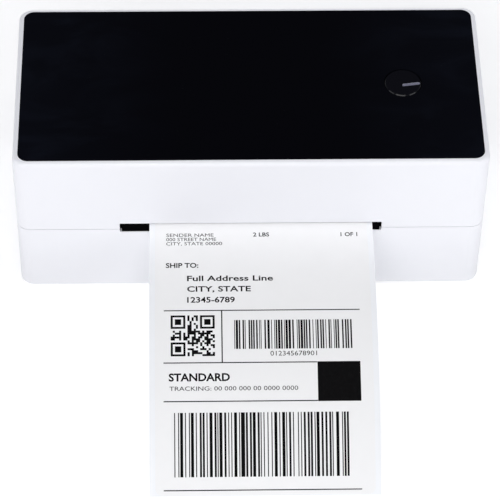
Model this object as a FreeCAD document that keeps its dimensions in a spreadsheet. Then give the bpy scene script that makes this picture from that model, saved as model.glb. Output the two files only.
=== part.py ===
import FreeCAD, Part
import math
import os

import Sketcher
from FreeCAD import Placement, Rotation, Vector

# Desktop thermal label printer with a label hanging out of its front slot.
# X runs to the right as seen from the front, -Y is the front, +Z is up.
# The origin is the centre of the body's footprint, on the surface it stands on.

doc = FreeCAD.newDocument("LabelPrinter")

driving = (
    ("body_width", 225.0, "overall width of the housing"),
    ("body_depth", 105.0, "overall depth of the housing"),
    ("body_height", 88.5, "height of the black top panel above the table"),
    ("plan_radius", 6.5, "upright corner radius of both shells"),
    ("wall", 2.4, "moulded wall thickness"),
    ("foot_height", 1.6, "rubber feet"),
    ("part_line", 42.9, "lower edge of the lid"),
    ("part_gap", 0.4, "gap between lid and base"),
    ("slot_half", 63.0, "half the width of the media slot"),
    ("slot_top", 46.7, "upper lip of the front slot"),
    ("slot_floor", 40.7, "lowered top of the base wall in the slot"),
    ("inlet_top", 52.0, "upper lip of the rear media inlet"),
    ("rim_width", 2.5, "white rim around the top panel"),
    ("rim_round", 2.2, "rounding of the lid's top edge"),
    ("panel_radius", 5.0, "corner radius of the top panel"),
    ("panel_thick", 1.8, "gloss top panel"),
    ("lid_top", 2.4, "lid moulding under the panel"),
    ("deck_low", 40.0, "underside of the base deck"),
    ("deck_thick", 2.0, "base deck"),
    ("mech_half", 68.0, "half width of the mechanism well in the deck"),
    ("cover_thick", 2.0, "bottom cover"),
    ("button_x", 73.8, "feed button centre"),
    ("button_y", -0.2, "feed button centre"),
    ("button_radius", 8.8, "feed button cap"),
    ("button_travel", 0.8, "feed button stroke"),
    ("media_x", 4.8, "sideways offset of the media"),
    ("media_low", 45.9, "underside of the liner in the slot"),
    ("media_bend", 12.0, "straight run outside the slot"),
    ("media_radius", 179.4, "radius of the hanging label"),
    ("media_turn", 40.7, "turn of the hanging label in degrees"),
    ("media_thick", 0.12, "each paper layer"),
    ("liner_width", 107.0, "backing paper"),
    ("label_width", 101.6, "label face"),
    ("label_length", 152.4, "label face"),
    ("label_gap", 3.0, "bare liner between two labels"),
    ("liner_tail", 22.0, "liner behind the print line"),
    ("platen_y", -37.0, "print line"),
    ("platen_radius", 8.0, "rubber roller"),
    ("platen_half", 60.0, "half length of the rubber"),
    ("shaft_radius", 4.0, "platen shaft"),
    ("running", 0.05, "radial clearance of every running fit"),
    ("nip_gap", 0.03, "play between paper, roller and print head"),
    ("plate_half", 65.0, "inner face of the chassis side plates"),
    ("plate_thick", 1.5, "chassis steel"),
    ("plate_top", 45.6, "top of the side plates"),
    ("gear_module", 0.8, "drive gears"),
    ("platen_teeth", 26, "gear on the platen shaft"),
    ("idler_teeth", 18, "small wheel of the idler"),
    ("idler_big_teeth", 36, "large wheel of the idler"),
    ("pinion_teeth", 18, "motor pinion"),
    ("mesh_play", 0.12, "extra centre distance of meshing gears"),
    ("idler_angle", 30.0, "platen to idler, degrees below level"),
    ("motor_angle", 18.0, "idler to motor, degrees below level"),
    ("motor_size", 28.0, "square stepper frame"),
    ("motor_length", 32.0, "stepper body"),
    ("bed_half", 64.0, "half width of the label bed"),
    ("bed_top", 45.5, "label bed surface"),
    ("bed_thick", 3.0, "label bed"),
    ("guide_half", 60.0, "media guides fully open"),
    ("guide_travel", 42.0, "stroke of each media guide"),
    ("guide_y", 29.0, "middle of the media guides"),
    ("rack_module", 1.0, "guide racks and their pinion"),
    ("guide_teeth", 16, "teeth of the guide pinion"),
    ("hinge_radius", 3.2, "hinge knuckles"),
    ("hinge_pin", 1.5, "hinge pin radius"),
    ("hinge_in", 78.0, "inner end of each hinge"),
    ("hinge_out", 100.0, "outer end of each hinge"),
    ("head_pivot_y", -12.0, "print head pivot"),
    ("head_pivot_z", 54.0, "print head pivot"),
    ("release_y", -23.0, "middle of the lid release buttons"),
    ("release_z", 58.0, "middle of the lid release buttons"),
    ("release_travel", 2.5, "stroke of the lid release buttons"),
    ("board_z", 8.0, "underside of the main board"),
    ("jack_x", 40.5, "power inlet"),
    ("usb_x", 64.0, "data socket"),
    ("switch_x", 86.0, "power switch"),
    ("switch_z", 22.5, "power switch"),
    ("clearance", 0.3, "clearance between fixed and moving mouldings"),
)

sheet = doc.addObject("Spreadsheet::Sheet", "Sizes")
for row, (alias, amount, note) in enumerate(driving, 1):
    sheet.set("A%d" % row, alias)
    sheet.set("B%d" % row, str(amount))
    sheet.setAlias("B%d" % row, alias)
    sheet.set("C%d" % row, note)
doc.recompute()


class Size:
    """A length: its expression on the sheet, and its value at the moment."""

    def __init__(self, text, value):
        self.text = text
        self.value = value

    def join(self, sign, other, value):
        return Size("(%s %s %s)" % (self.text, sign, other.text), value)

    def __add__(self, other):
        other = size(other)
        return self.join("+", other, self.value + other.value)

    def __sub__(self, other):
        other = size(other)
        return self.join("-", other, self.value - other.value)

    def __mul__(self, other):
        other = size(other)
        return self.join("*", other, self.value * other.value)

    def __truediv__(self, other):
        other = size(other)
        return self.join("/", other, self.value / other.value)

    def __radd__(self, other):
        return size(other) + self

    def __rsub__(self, other):
        return size(other) - self

    def __rmul__(self, other):
        return size(other) * self

    def __neg__(self):
        return size(0) - self

    def __float__(self):
        return self.value


def size(item):
    """A Size, made from a plain number where needed."""
    if isinstance(item, Size):
        return item
    return Size("%.6g" % item, float(item))


def sized(alias):
    """The sheet's value of that name."""
    return Size("Sizes." + alias, float(sheet.get(alias)))


width, depth, height = sized("body_width"), sized("body_depth"), sized("body_height")
planRadius, wall, footHeight = sized("plan_radius"), sized("wall"), sized("foot_height")
partLine, partGap = sized("part_line"), sized("part_gap")
slotHalf, slotTop, slotFloor = sized("slot_half"), sized("slot_top"), sized("slot_floor")
inletTop, rimWidth, rimRound = sized("inlet_top"), sized("rim_width"), sized("rim_round")
panelRadius, panelThick, lidTop = sized("panel_radius"), sized("panel_thick"), sized("lid_top")
deckLow, deckThick, mechHalf = sized("deck_low"), sized("deck_thick"), sized("mech_half")
coverThick = sized("cover_thick")
buttonX, buttonY = sized("button_x"), sized("button_y")
buttonRadius, buttonTravel = sized("button_radius"), sized("button_travel")
mediaX, mediaLow, mediaBend = sized("media_x"), sized("media_low"), sized("media_bend")
mediaRadius, mediaTurn, mediaThick = sized("media_radius"), sized("media_turn"), sized("media_thick")
linerWidth, labelWidth, labelLength = sized("liner_width"), sized("label_width"), sized("label_length")
labelGap, linerTail = sized("label_gap"), sized("liner_tail")
platenY, platenRadius, platenHalf = sized("platen_y"), sized("platen_radius"), sized("platen_half")
shaftRadius, running, nipGap = sized("shaft_radius"), sized("running"), sized("nip_gap")
plateHalf, plateThick, plateTop = sized("plate_half"), sized("plate_thick"), sized("plate_top")
gearModule, meshPlay = sized("gear_module"), sized("mesh_play")
motorSize, motorLength = sized("motor_size"), sized("motor_length")
bedHalf, bedTop, bedThick = sized("bed_half"), sized("bed_top"), sized("bed_thick")
guideHalf, guideTravel, guideY = sized("guide_half"), sized("guide_travel"), sized("guide_y")
rackModule, guideTeeth = sized("rack_module"), sized("guide_teeth")
hingeRadius, hingePin = sized("hinge_radius"), sized("hinge_pin")
hingeIn, hingeOut = sized("hinge_in"), sized("hinge_out")
headY, headZ = sized("head_pivot_y"), sized("head_pivot_z")
releaseY, releaseZ, releaseTravel = sized("release_y"), sized("release_z"), sized("release_travel")
boardZ, jackX, usbX = sized("board_z"), sized("jack_x"), sized("usb_x")
switchX, switchZ, clear = sized("switch_x"), sized("switch_z"), sized("clearance")

halfX, halfY = width / 2, depth / 2
inX, inY = halfX - wall, halfY - wall
baseTop = partLine - partGap
deckTop = deckLow + deckThick
floorZ = footHeight + coverThick
ceiling = height - panelThick - lidTop
hingeZ = partLine - partGap / 2
mediaTop = mediaLow + mediaThick * 2
platenZ = mediaLow - nipGap - platenRadius
bedLow = bedTop - bedThick
rackPitch = rackModule * guideTeeth / 2


def below(startY, startZ, distance, degrees):
    """The centre that lies a distance away, back and down at an angle."""
    turn = math.radians(float(degrees))
    return startY + distance * math.cos(turn), startZ - distance * math.sin(turn)


idlerReach = gearModule * (sized("platen_teeth") + sized("idler_teeth")) / 2 + meshPlay
motorReach = gearModule * (sized("idler_big_teeth") + sized("pinion_teeth")) / 2 + meshPlay
idlerY, idlerZ = below(platenY, platenZ, idlerReach, sized("idler_angle"))
motorY, motorZ = below(idlerY, idlerZ, motorReach, sized("motor_angle"))

pieces = []


def bind(item, rules):
    """Ties properties of an object to expressions on the sheet."""
    for name, rule in rules.items():
        item.setExpression(name, size(rule).text)


def place(item, x, y, z):
    bind(item, {"Placement.Base.x": x, "Placement.Base.y": y, "Placement.Base.z": z})


def box(name, x, y, z):
    """A block between two values along each axis."""
    item = doc.addObject("Part::Box", name)
    bind(item, {"Length": x[1] - size(x[0]), "Width": y[1] - size(y[0]), "Height": z[1] - size(z[0])})
    place(item, x[0], y[0], z[0])
    return item


turns = {
    "X": Rotation(Vector(0, 1, 0), 90),
    "Y": Rotation(Vector(1, 0, 0), -90),
    "Z": Rotation(),
}


def rod(name, axis, centre, span, radius):
    """A cylinder along an axis: centre gives the two other coordinates."""
    item = doc.addObject("Part::Cylinder", name)
    item.Placement = Placement(Vector(), turns[axis])
    bind(item, {"Radius": radius, "Height": span[1] - size(span[0])})
    low = {"X": (span[0],) + tuple(centre),
           "Y": (centre[0], span[0], centre[1]),
           "Z": tuple(centre) + (span[0],)}[axis]
    place(item, *low)
    return item


def fuse(name, *parts):
    item = doc.addObject("Part::MultiFuse", name)
    item.Shapes = list(parts)
    return item


def cut(name, base, *tools):
    item = doc.addObject("Part::Cut", name)
    item.Base = base
    item.Tool = tools[0] if len(tools) == 1 else fuse(name + "_tools", *tools)
    return item


def group(name, *parts):
    item = doc.addObject("Part::Compound", name)
    item.Links = list(parts)
    return item


def mirrored(name, source):
    """The same piece on the other side of the X = 0 plane."""
    item = doc.addObject("Part::Mirroring", name)
    item.Source = source
    item.Normal = Vector(1, 0, 0)
    return item


def rounded(name, base, radius, wanted):
    """Fillets the edges of a solid that the test picks."""
    doc.recompute()
    item = doc.addObject("Part::Fillet", name)
    item.Base = base
    amount = float(radius)
    item.Edges = [(i, amount, amount) for i, edge in enumerate(base.Shape.Edges, 1) if wanted(edge)]
    return item


def upright(edge):
    box = edge.BoundBox
    return box.ZLength > 1 and box.XLength < 0.01 and box.YLength < 0.01


def atHeight(level):
    def test(edge):
        box = edge.BoundBox
        return abs(box.ZMin - float(level)) < 0.01 and abs(box.ZMax - float(level)) < 0.01
    return test


def feature(name, shape, x=0, y=0, z=0):
    """A piece whose outline no feature of the workbenches makes."""
    item = doc.addObject("Part::Feature", name)
    item.Shape = shape
    item.Placement = Placement(Vector(float(x), float(y), float(z)), Rotation()).multiply(shape.Placement)
    return item


def keep(node, item):
    item.Label = node
    pieces.append((node, item))
    return item


# ---- sketches and bodies

def originPlane(body, role):
    return [item for item in body.Origin.OriginFeatures if item.Role == role][0]


def newSketch(body, name, lift=0):
    sketch = body.newObject("Sketcher::SketchObject", name)
    sketch.AttachmentSupport = [(originPlane(body, "XY_Plane"), "")]
    sketch.MapMode = "FlatFace"
    sketch.setExpression(".AttachmentOffset.Base.z", size(lift).text)
    return sketch


def measure(sketch, name, constraint, amount):
    """Adds a named dimension that follows the sheet."""
    sketch.renameConstraint(sketch.addConstraint(constraint), name)
    sketch.setExpression(".Constraints." + name, size(amount).text)


def rectangle(sketch, name, x, y, long, deep):
    """A rectangle whose low corner is at x, y (both positive) from the sketch's origin."""
    a, b, c, d = float(x), float(y), float(long), float(deep)
    spots = [Vector(a, b, 0), Vector(a + c, b, 0), Vector(a + c, b + d, 0), Vector(a, b + d, 0)]
    first = sketch.GeometryCount
    for i in range(4):
        sketch.addGeometry(Part.LineSegment(spots[i], spots[(i + 1) % 4]), False)
    for i in range(4):
        sketch.addConstraint(Sketcher.Constraint("Coincident", first + i, 2, first + (i + 1) % 4, 1))
    for i in (0, 2):
        sketch.addConstraint(Sketcher.Constraint("Horizontal", first + i))
    for i in (1, 3):
        sketch.addConstraint(Sketcher.Constraint("Vertical", first + i))
    measure(sketch, name + "_long", Sketcher.Constraint("DistanceX", first, 1, first, 2, c), long)
    measure(sketch, name + "_deep", Sketcher.Constraint("DistanceY", first + 1, 1, first + 1, 2, d), deep)
    if a == 0 and b == 0:
        sketch.addConstraint(Sketcher.Constraint("Coincident", first, 1, -1, 1))
        return
    measure(sketch, name + "_x", Sketcher.Constraint("DistanceX", -1, 1, first, 1, a), x)
    measure(sketch, name + "_y", Sketcher.Constraint("DistanceY", -1, 1, first, 1, b), y)


def circle(sketch, name, x, y, radius):
    """A circle whose centre is at x, y (both positive) from the sketch's origin."""
    a, b, r = float(x), float(y), float(radius)
    item = sketch.addGeometry(Part.Circle(Vector(a, b, 0), Vector(0, 0, 1), r), False)
    measure(sketch, name + "_radius", Sketcher.Constraint("Radius", item, r), radius)
    measure(sketch, name + "_x", Sketcher.Constraint("DistanceX", -1, 1, item, 3, a), x)
    measure(sketch, name + "_y", Sketcher.Constraint("DistanceY", -1, 1, item, 3, b), y)


def plate(name, x, y, z, corner=None, holes=(), windows=()):
    """A padded rectangle with upright corners rounded, round holes and square windows."""
    body = doc.addObject("PartDesign::Body", name)
    outline = newSketch(body, name + "_outline")
    rectangle(outline, "side", 0, 0, x[1] - size(x[0]), y[1] - size(y[0]))
    pad = body.newObject("PartDesign::Pad", name + "_pad")
    pad.Profile = outline
    bind(pad, {"Length": z[1] - size(z[0])})
    if corner is not None:
        doc.recompute()
        round4 = body.newObject("PartDesign::Fillet", name + "_corners")
        names = ["Edge%d" % i for i, edge in enumerate(pad.Shape.Edges, 1) if upright(edge)]
        round4.Base = (pad, names)
        bind(round4, {"Radius": corner})
    if holes or windows:
        openings = newSketch(body, name + "_openings")
        for i, (hx, hy, radius) in enumerate(holes):
            circle(openings, "hole%d" % i, hx - x[0], hy - y[0], radius)
        for i, (wx, wy) in enumerate(windows):
            rectangle(openings, "window%d" % i, wx[0] - size(x[0]), wy[0] - size(y[0]),
                      wx[1] - size(wx[0]), wy[1] - size(wy[0]))
        pocket = body.newObject("PartDesign::Pocket", name + "_pocket")
        pocket.Profile = openings
        pocket.Type = "ThroughAll"
        pocket.Midplane = True
    place(body, x[0], y[0], z[0])
    return body


def turned(name, axis, centre, start, outline):
    """A revolved body: outline lists (radius, distance along the axis), closed on the axis."""
    body = doc.addObject("PartDesign::Body", name)
    body.Placement = Placement(Vector(), turns[axis])
    sketch = body.newObject("Sketcher::SketchObject", name + "_profile")
    sketch.AttachmentSupport = [(originPlane(body, "XZ_Plane"), "")]
    sketch.MapMode = "FlatFace"
    spots = [Vector(float(radius), float(along), 0) for radius, along in outline]
    count = len(spots)
    for i in range(count):
        sketch.addGeometry(Part.LineSegment(spots[i], spots[(i + 1) % count]), False)
    for i in range(count):
        sketch.addConstraint(Sketcher.Constraint("Coincident", i, 2, (i + 1) % count, 1))
    for i, (radius, along) in enumerate(outline):
        if float(radius) == 0:
            sketch.addConstraint(Sketcher.Constraint("PointOnObject", i, 1, -2))
        else:
            measure(sketch, "radius%d" % i, Sketcher.Constraint("DistanceX", -1, 1, i, 1, float(radius)), radius)
        if float(along) == 0:
            sketch.addConstraint(Sketcher.Constraint("PointOnObject", i, 1, -1))
        else:
            measure(sketch, "along%d" % i, Sketcher.Constraint("DistanceY", -1, 1, i, 1, float(along)), along)
    spin = body.newObject("PartDesign::Revolution", name + "_turn")
    spin.Profile = sketch
    spin.ReferenceAxis = (sketch, ["V_Axis"])
    spin.Angle = 360
    low = {"X": (start,) + tuple(centre),
           "Y": (centre[0], start, centre[1]),
           "Z": tuple(centre) + (start,)}[axis]
    place(body, *low)
    return body


def screwGroup(name, spots, headZ, tipZ, headRadius, headHeight, shankRadius):
    """Pan head screws along Z: the head lies beyond headZ, away from the tip."""
    up = float(tipZ) > float(headZ)
    parts = []
    for x, y in spots:
        if up:
            head = rod(name + "_head", "Z", (x, y), (headZ - headHeight, headZ), headRadius)
            shank = rod(name + "_shank", "Z", (x, y), (headZ, tipZ), shankRadius)
            driver = rod(name + "_drive", "Z", (x, y), (headZ - headHeight, headZ - headHeight / 2), shankRadius * 0.7)
        else:
            head = rod(name + "_head", "Z", (x, y), (headZ, headZ + headHeight), headRadius)
            shank = rod(name + "_shank", "Z", (x, y), (tipZ, headZ), shankRadius)
            driver = rod(name + "_drive", "Z", (x, y), (headZ + headHeight / 2, headZ + headHeight), shankRadius * 0.7)
        parts.append(cut(name + "_screw", fuse(name + "_blank", head, shank), driver))
    return parts


def screws(name, *details):
    return keep(name, group(name, *screwGroup(name, *details)))


# ---- gears, racks and springs

pressureAngle = math.radians(20)


def involute(angle):
    """inv(a) = tan a - a, the involute function."""
    return math.tan(angle) - angle


def gearFace(teeth, module, toothPlay):
    """The outline of a spur gear in the YZ plane with one tooth along +Y.

    At radius r a tooth is 2 (pi / 2z - play / mz + inv 20 deg - inv acos(rb / r)) wide in angle.
    """
    pitch = module * teeth / 2
    base = pitch * math.cos(pressureAngle)
    tip = pitch + module
    root = pitch - 1.25 * module
    half = math.pi / (2 * teeth) - toothPlay / (module * teeth) + involute(pressureAngle)
    start = max(base, root)
    radii = [start + (tip - start) * (i / 5.0) ** 1.5 for i in range(6)]
    flank = [(radius, half - involute(math.acos(min(1.0, base / radius)))) for radius in radii]

    def spot(radius, angle):
        return Vector(0, radius * math.cos(angle), radius * math.sin(angle))

    edges = []
    for tooth in range(teeth):
        middle = 2 * math.pi * tooth / teeth
        following = 2 * math.pi * (tooth + 1) / teeth
        rising = [spot(radius, middle - angle) for radius, angle in flank]
        falling = [spot(radius, middle + angle) for radius, angle in reversed(flank)]
        if root < base:
            edges.append(Part.makeLine(spot(root, middle - flank[0][1]), rising[0]))
        for run in (rising, falling):
            curve = Part.BSplineCurve()
            curve.interpolate(run)
            edges.append(curve.toShape())
            if run is rising:
                edges.append(Part.makeLine(rising[-1], falling[0]))
        last = falling[-1]
        if root < base:
            low = spot(root, middle + flank[0][1])
            edges.append(Part.makeLine(last, low))
            last = low
        foot = root if root < base else start
        edges.append(Part.makeLine(last, spot(foot, following - flank[0][1])))
    return Part.Face(Part.Wire(edges))


def spurGear(teeth, module, low, high, bore, degrees, toothPlay=0.05):
    """A spur gear about the X axis between two X values, turned by an angle."""
    solid = gearFace(int(teeth), float(module), toothPlay).extrude(Vector(high - low, 0, 0))
    hole = Part.makeCylinder(bore, high - low, Vector(0, 0, 0), Vector(1, 0, 0))
    solid = solid.cut(hole)
    solid.rotate(Vector(0, 0, 0), Vector(1, 0, 0), degrees)
    solid.translate(Vector(low, 0, 0))
    return solid


def meshTurn(teeth, otherTeeth, otherTurn, direction):
    """The turn that puts this gear's gap on the other gear's tooth.

    direction is the angle, in degrees, from the other gear's centre to this one's.
    Tooth phases at the contact add up to one half.
    """
    phase = (direction - otherTurn) * otherTeeth / 360.0
    return direction + 180.0 - (0.5 - phase) * 360.0 / teeth


def rackFace(count, module, back, play):
    """A rack's outline in the XY plane: gap at X = 0, teeth along X, pitch line on Y = 0, body at -Y."""
    pitch = math.pi * module
    tall, deep = module, 1.25 * module
    slope = math.tan(pressureAngle)
    half = pitch / 4 - play
    low, high = count
    spots = [Vector(low * pitch, -back, 0), Vector(low * pitch, -deep, 0)]
    for i in range(low, high):
        middle = (i + 0.5) * pitch
        spots.append(Vector(middle - half - deep * slope, -deep, 0))
        spots.append(Vector(middle - half + tall * slope, tall, 0))
        spots.append(Vector(middle + half - tall * slope, tall, 0))
        spots.append(Vector(middle + half + deep * slope, -deep, 0))
    spots.append(Vector(high * pitch, -deep, 0))
    spots.append(Vector(high * pitch, -back, 0))
    return Part.Face(Part.makePolygon(spots + [spots[0]]))


def coil(radius, wire, long, count):
    """A compression spring along +Z from the origin, its section kept upright along the helix."""
    run = long - wire
    helix = Part.makeHelix(run / count, run, radius)
    rise = run / count / (2 * math.pi * radius)
    section = Part.Wire(Part.makeCircle(wire / 2, Vector(radius, 0, 0), Vector(0, 1, rise)))
    sweep = Part.BRepOffsetAPI.MakePipeShell(Part.Wire(helix.Edges))
    sweep.setBiNormalMode(Vector(0, 0, 1))
    sweep.add(section)
    sweep.build()
    sweep.makeSolid()
    spring = sweep.shape()
    spring.translate(Vector(0, 0, wire / 2))
    return spring


# ---- base housing

bossX, bossY = halfX - 12.5, halfY - 10.5
knuckle = size(5.0)


def hingeRods(name, spans, radius):
    """Cylinders about both hinge axes, right and left."""
    parts = []
    for low, high in spans:
        parts.append(rod(name, "X", (halfY, hingeZ), (low, high), radius))
        parts.append(rod(name, "X", (halfY, hingeZ), (-high, -low), radius))
    return parts


baseKnuckles = ((hingeIn, hingeIn + knuckle), (hingeOut - knuckle, hingeOut))
lidKnuckle = (hingeIn + knuckle + partGap, hingeOut - knuckle - partGap)
catchLow = deckLow - 2


def baseShell():
    block = box("base_box", (-halfX, halfX), (-halfY, halfY), (footHeight, baseTop))
    block = rounded("base_block", block, planRadius, upright)
    block = rounded("base_soft", block, 1.2, atHeight(footHeight))
    inside = box("base_inside", (-inX, inX), (-inY, inY), (footHeight - 1, deckLow))
    inside = rounded("base_cavity", inside, planRadius - wall, upright)
    above = box("base_above", (-inX, inX), (-inY, inY), (deckTop, baseTop + 1))
    above = rounded("base_rim", above, planRadius - wall, upright)
    tools = [
        inside, above,
        box("mechanism_well", (-mechHalf, mechHalf), (-inY, inY), (deckLow - 1, deckTop + 1)),
        box("gear_well", (-mechHalf - 15.2, -mechHalf - 1.8), (-inY, -6), (deckLow - 1, deckTop + 1)),
        box("shaft_well", (-mechHalf - 4, mechHalf + 4), (platenY - 8, platenY + 8), (deckLow - 1, deckTop + 1)),
        box("slot_front", (-slotHalf, slotHalf), (-halfY - 1, -inY), (slotFloor, baseTop + 1)),
        box("slot_rear", (-slotHalf, slotHalf), (inY, halfY + 1), (slotFloor, baseTop + 1)),
        box("jack_window", (jackX - 4.8, jackX + 4.8), (inY - 1, halfY + 1), (boardZ + 1.3, boardZ + 12.9)),
        box("usb_window", (usbX - 6.3, usbX + 6.3), (inY - 1, halfY + 1), (boardZ + 1.3, boardZ + 12.9)),
        box("switch_window", (switchX - 6.4, switchX + 6.4), (inY - 1, halfY + 1),
            (switchZ - 9.4, switchZ + 9.4)),
    ]
    for side in (-1, 1):
        low, high = (inX - 10.1, inX) if side > 0 else (-inX, -inX + 10.1)
        tools.append(box("latch_well", (low, high), (releaseY - 13, releaseY + 11), (deckLow - 1, deckTop + 1)))
    tools += hingeRods("base_relief", [(hingeIn + knuckle, hingeOut - knuckle)], hingeRadius + clear)
    shell = cut("base_hollow", block, *tools)
    extras = hingeRods("base_knuckle", baseKnuckles, hingeRadius)
    for side in (-1, 1):
        low, high = (inX - 2.2, inX + 0.5) if side > 0 else (-inX - 0.5, -inX + 2.2)
        extras.append(box("catch", (low, high), (releaseY - 8, releaseY + 8), (catchLow, deckLow)))
        for y in (-bossY, bossY):
            extras.append(rod("boss", "Z", (bossX * side, y), (floorZ, deckLow + 0.5), 4))
    shell = fuse("base_body", shell, *extras)
    pilots = hingeRods("base_pin_hole", [(hingeIn - 1, hingeOut + 1)], hingePin)
    for x in (-bossX, bossX):
        for y in (-bossY, bossY):
            pilots.append(rod("pilot", "Z", (x, y), (floorZ - 1, footHeight + 12), 1.25))
    return keep("base_shell", cut("base_shell", shell, *pilots))


def hingePins():
    return keep("hinge_pins", group("hinge_pins", *hingeRods("hinge_pin", [(hingeIn, hingeOut)], hingePin)))


boardX = (size(-28), size(92))
boardY = (size(15.5), size(48))
boardTop = boardZ + 1.6
boardHoles = [(x, y) for x in (boardX[0] + 4, boardX[1] - 4) for y in (boardY[0] + 4, boardY[1] - 4)]
coverHoles = [(x, y) for x in (-bossX, bossX) for y in (-bossY, bossY)]
chassisHoles = [(x, y) for x in (-plateHalf + 10, plateHalf - 10) for y in (size(-38), size(8))]


def bottomCover():
    holes = [(x, y, size(1.25)) for x, y in coverHoles] + [(x, y, size(1.5)) for x, y in chassisHoles]
    vents = [((-72, -36), (18.0 + 4.8 * i, 20.4 + 4.8 * i)) for i in range(6)]
    sheetPlate = plate("cover_plate", (-inX + clear, inX - clear), (-inY + clear, inY - clear),
                       (footHeight, floorZ), planRadius - wall - clear, holes, vents)
    posts = [rod("standoff", "Z", spot, (floorZ, boardZ), 3) for spot in boardHoles]
    pilots = [rod("standoff_hole", "Z", spot, (floorZ + 0.6, boardZ + 1), 1.25) for spot in boardHoles]
    return keep("bottom_cover", cut("bottom_cover", fuse("cover_body", sheetPlate, *posts), *pilots))


def rubberFeet():
    outline = ((size(0), size(0)), (size(5.2), size(0)), (size(6), size(0.8)),
               (size(6), footHeight), (size(0), footHeight))
    feet = [turned("foot", "Z", (x, y), size(0), outline)
            for x in (-bossX + 14, bossX - 14) for y in (-bossY + 3, bossY - 3)]
    return keep("rubber_feet", group("rubber_feet", *feet))


def bottomScrews():
    """Four screws into the base's bosses and four into the chassis floor."""
    long = screwGroup("cover_screw", coverHoles, footHeight, footHeight + 10, size(2.8), size(1.4), size(1.25))
    short = screwGroup("chassis_screw", chassisHoles, footHeight, floorZ + plateThick, size(2.8), size(1.4), size(1.5))
    keep("bottom_screws", group("bottom_screws", *(long + short)))


# ---- chassis and drive

def chassis():
    floor = box("chassis_floor", (-plateHalf - plateThick, plateHalf + plateThick), (-49.5, 15),
                (floorZ, floorZ + plateThick))
    parts = [floor]
    for low, high in ((-plateHalf - plateThick, -plateHalf), (plateHalf, plateHalf + plateThick)):
        parts.append(box("side_plate", (low, high), (-49.5, 15), (floorZ, deckLow)))
        parts.append(box("side_ear", (low, high), (-49.5, platenY + 9), (deckLow - 1, plateTop)))
    holes = [rod("bearing_hole", "X", (platenY, platenZ), (-plateHalf - 3, -plateHalf + 1), 6),
             rod("bearing_hole", "X", (platenY, platenZ), (plateHalf - 1, plateHalf + 3), 6),
             rod("axle_hole", "X", (idlerY, idlerZ), (-plateHalf - 3, -plateHalf + 1), 2.5),
             rod("shaft_hole", "X", (motorY, motorZ), (-plateHalf - 3, -plateHalf + 1), 3.4)]
    holes += [rod("motor_hole", "X", spot, (-plateHalf - 3, -plateHalf + 1), 1.25) for spot in motorHoles]
    holes += [rod("floor_hole", "Z", spot, (floorZ - 1, floorZ + 3), 1.5) for spot in chassisHoles]
    return keep("chassis", cut("chassis", fuse("chassis_blank", *parts), *holes))


motorReachX = motorSize / 2 - 2.5
motorHoles = [(motorY + motorReachX * a, motorZ + motorReachX * b) for a in (-1, 1) for b in (-1, 1)]


def platenBushes():
    inner, outer = plateHalf - 1.4, plateHalf + plateThick + 1.1
    bushes = []
    for side in (-1, 1):
        spans = [(inner, outer), (inner, plateHalf)]
        if side < 0:
            spans = [(-high, -low) for low, high in spans]
        body = fuse("bush_blank",
                    rod("bush_barrel", "X", (platenY, platenZ), spans[0], 6),
                    rod("bush_flange", "X", (platenY, platenZ), spans[1], 7.4))
        bushes.append(cut("bush", body,
                          rod("bush_bore", "X", (platenY, platenZ), (spans[0][0] - 1, spans[0][1] + 1),
                              shaftRadius + running)))
    return keep("platen_bushes", group("platen_bushes", *bushes))


def ring(name, axis, centre, span, outer, inner):
    return cut(name, rod(name + "_disc", axis, centre, span, outer),
               rod(name + "_hole", axis, centre, (span[0] - 1, span[1] + 1), inner))


gearOut, gearMid, gearIn = -plateHalf - 16, -plateHalf - 11.5, -plateHalf - 4.5


def platen():
    axis = (platenY, platenZ)
    keep("platen_shaft", rod("platen_shaft", "X", axis, (-plateHalf - 11, plateHalf + 4.5), shaftRadius))
    keep("platen_roller", ring("platen_roller", "X", axis, (-platenHalf, platenHalf), platenRadius, shaftRadius))
    keep("platen_clip", ring("platen_clip", "X", axis, (plateHalf + 3, plateHalf + 3.8), 6.6, shaftRadius))
    gear = spurGear(float(sized("platen_teeth")), gearModule, float(gearIn - 6), float(gearIn - 1),
                    float(shaftRadius), 0.0)
    keep("platen_gear", feature("platen_gear", gear, 0, platenY, platenZ))


def idler():
    toIdler = 360.0 - float(sized("idler_angle"))
    turn = meshTurn(float(sized("idler_teeth")), float(sized("platen_teeth")), 0.0, toIdler)
    bore = 2.5 + float(running)
    small = spurGear(float(sized("idler_teeth")), gearModule, float(gearMid), float(gearIn), bore, turn)
    big = spurGear(float(sized("idler_big_teeth")), gearModule, float(gearOut), float(gearMid), bore, bigTurn())
    hub = Part.makeCylinder(4, 2.6, Vector(float(gearIn), 0, 0), Vector(1, 0, 0))
    hub = hub.cut(Part.makeCylinder(bore, 2.6, Vector(float(gearIn), 0, 0), Vector(1, 0, 0)))
    wheel = big.fuse(small).fuse(hub).removeSplitter()
    keep("idler_gear", feature("idler_gear", wheel, 0, idlerY, idlerZ))
    axis = (idlerY, idlerZ)
    keep("idler_axle", rod("idler_axle", "X", axis, (-plateHalf - 18.4, -plateHalf), 2.5))
    keep("idler_clip", ring("idler_clip", "X", axis, (gearOut - 1.4, gearOut - 0.5), 5, 2.5))


def bigTurn():
    """The large idler wheel meshes with a pinion whose tooth points along +Y."""
    toIdler = 180.0 - float(sized("motor_angle"))
    return meshTurn(float(sized("idler_big_teeth")), float(sized("pinion_teeth")), 0.0, toIdler)


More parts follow.
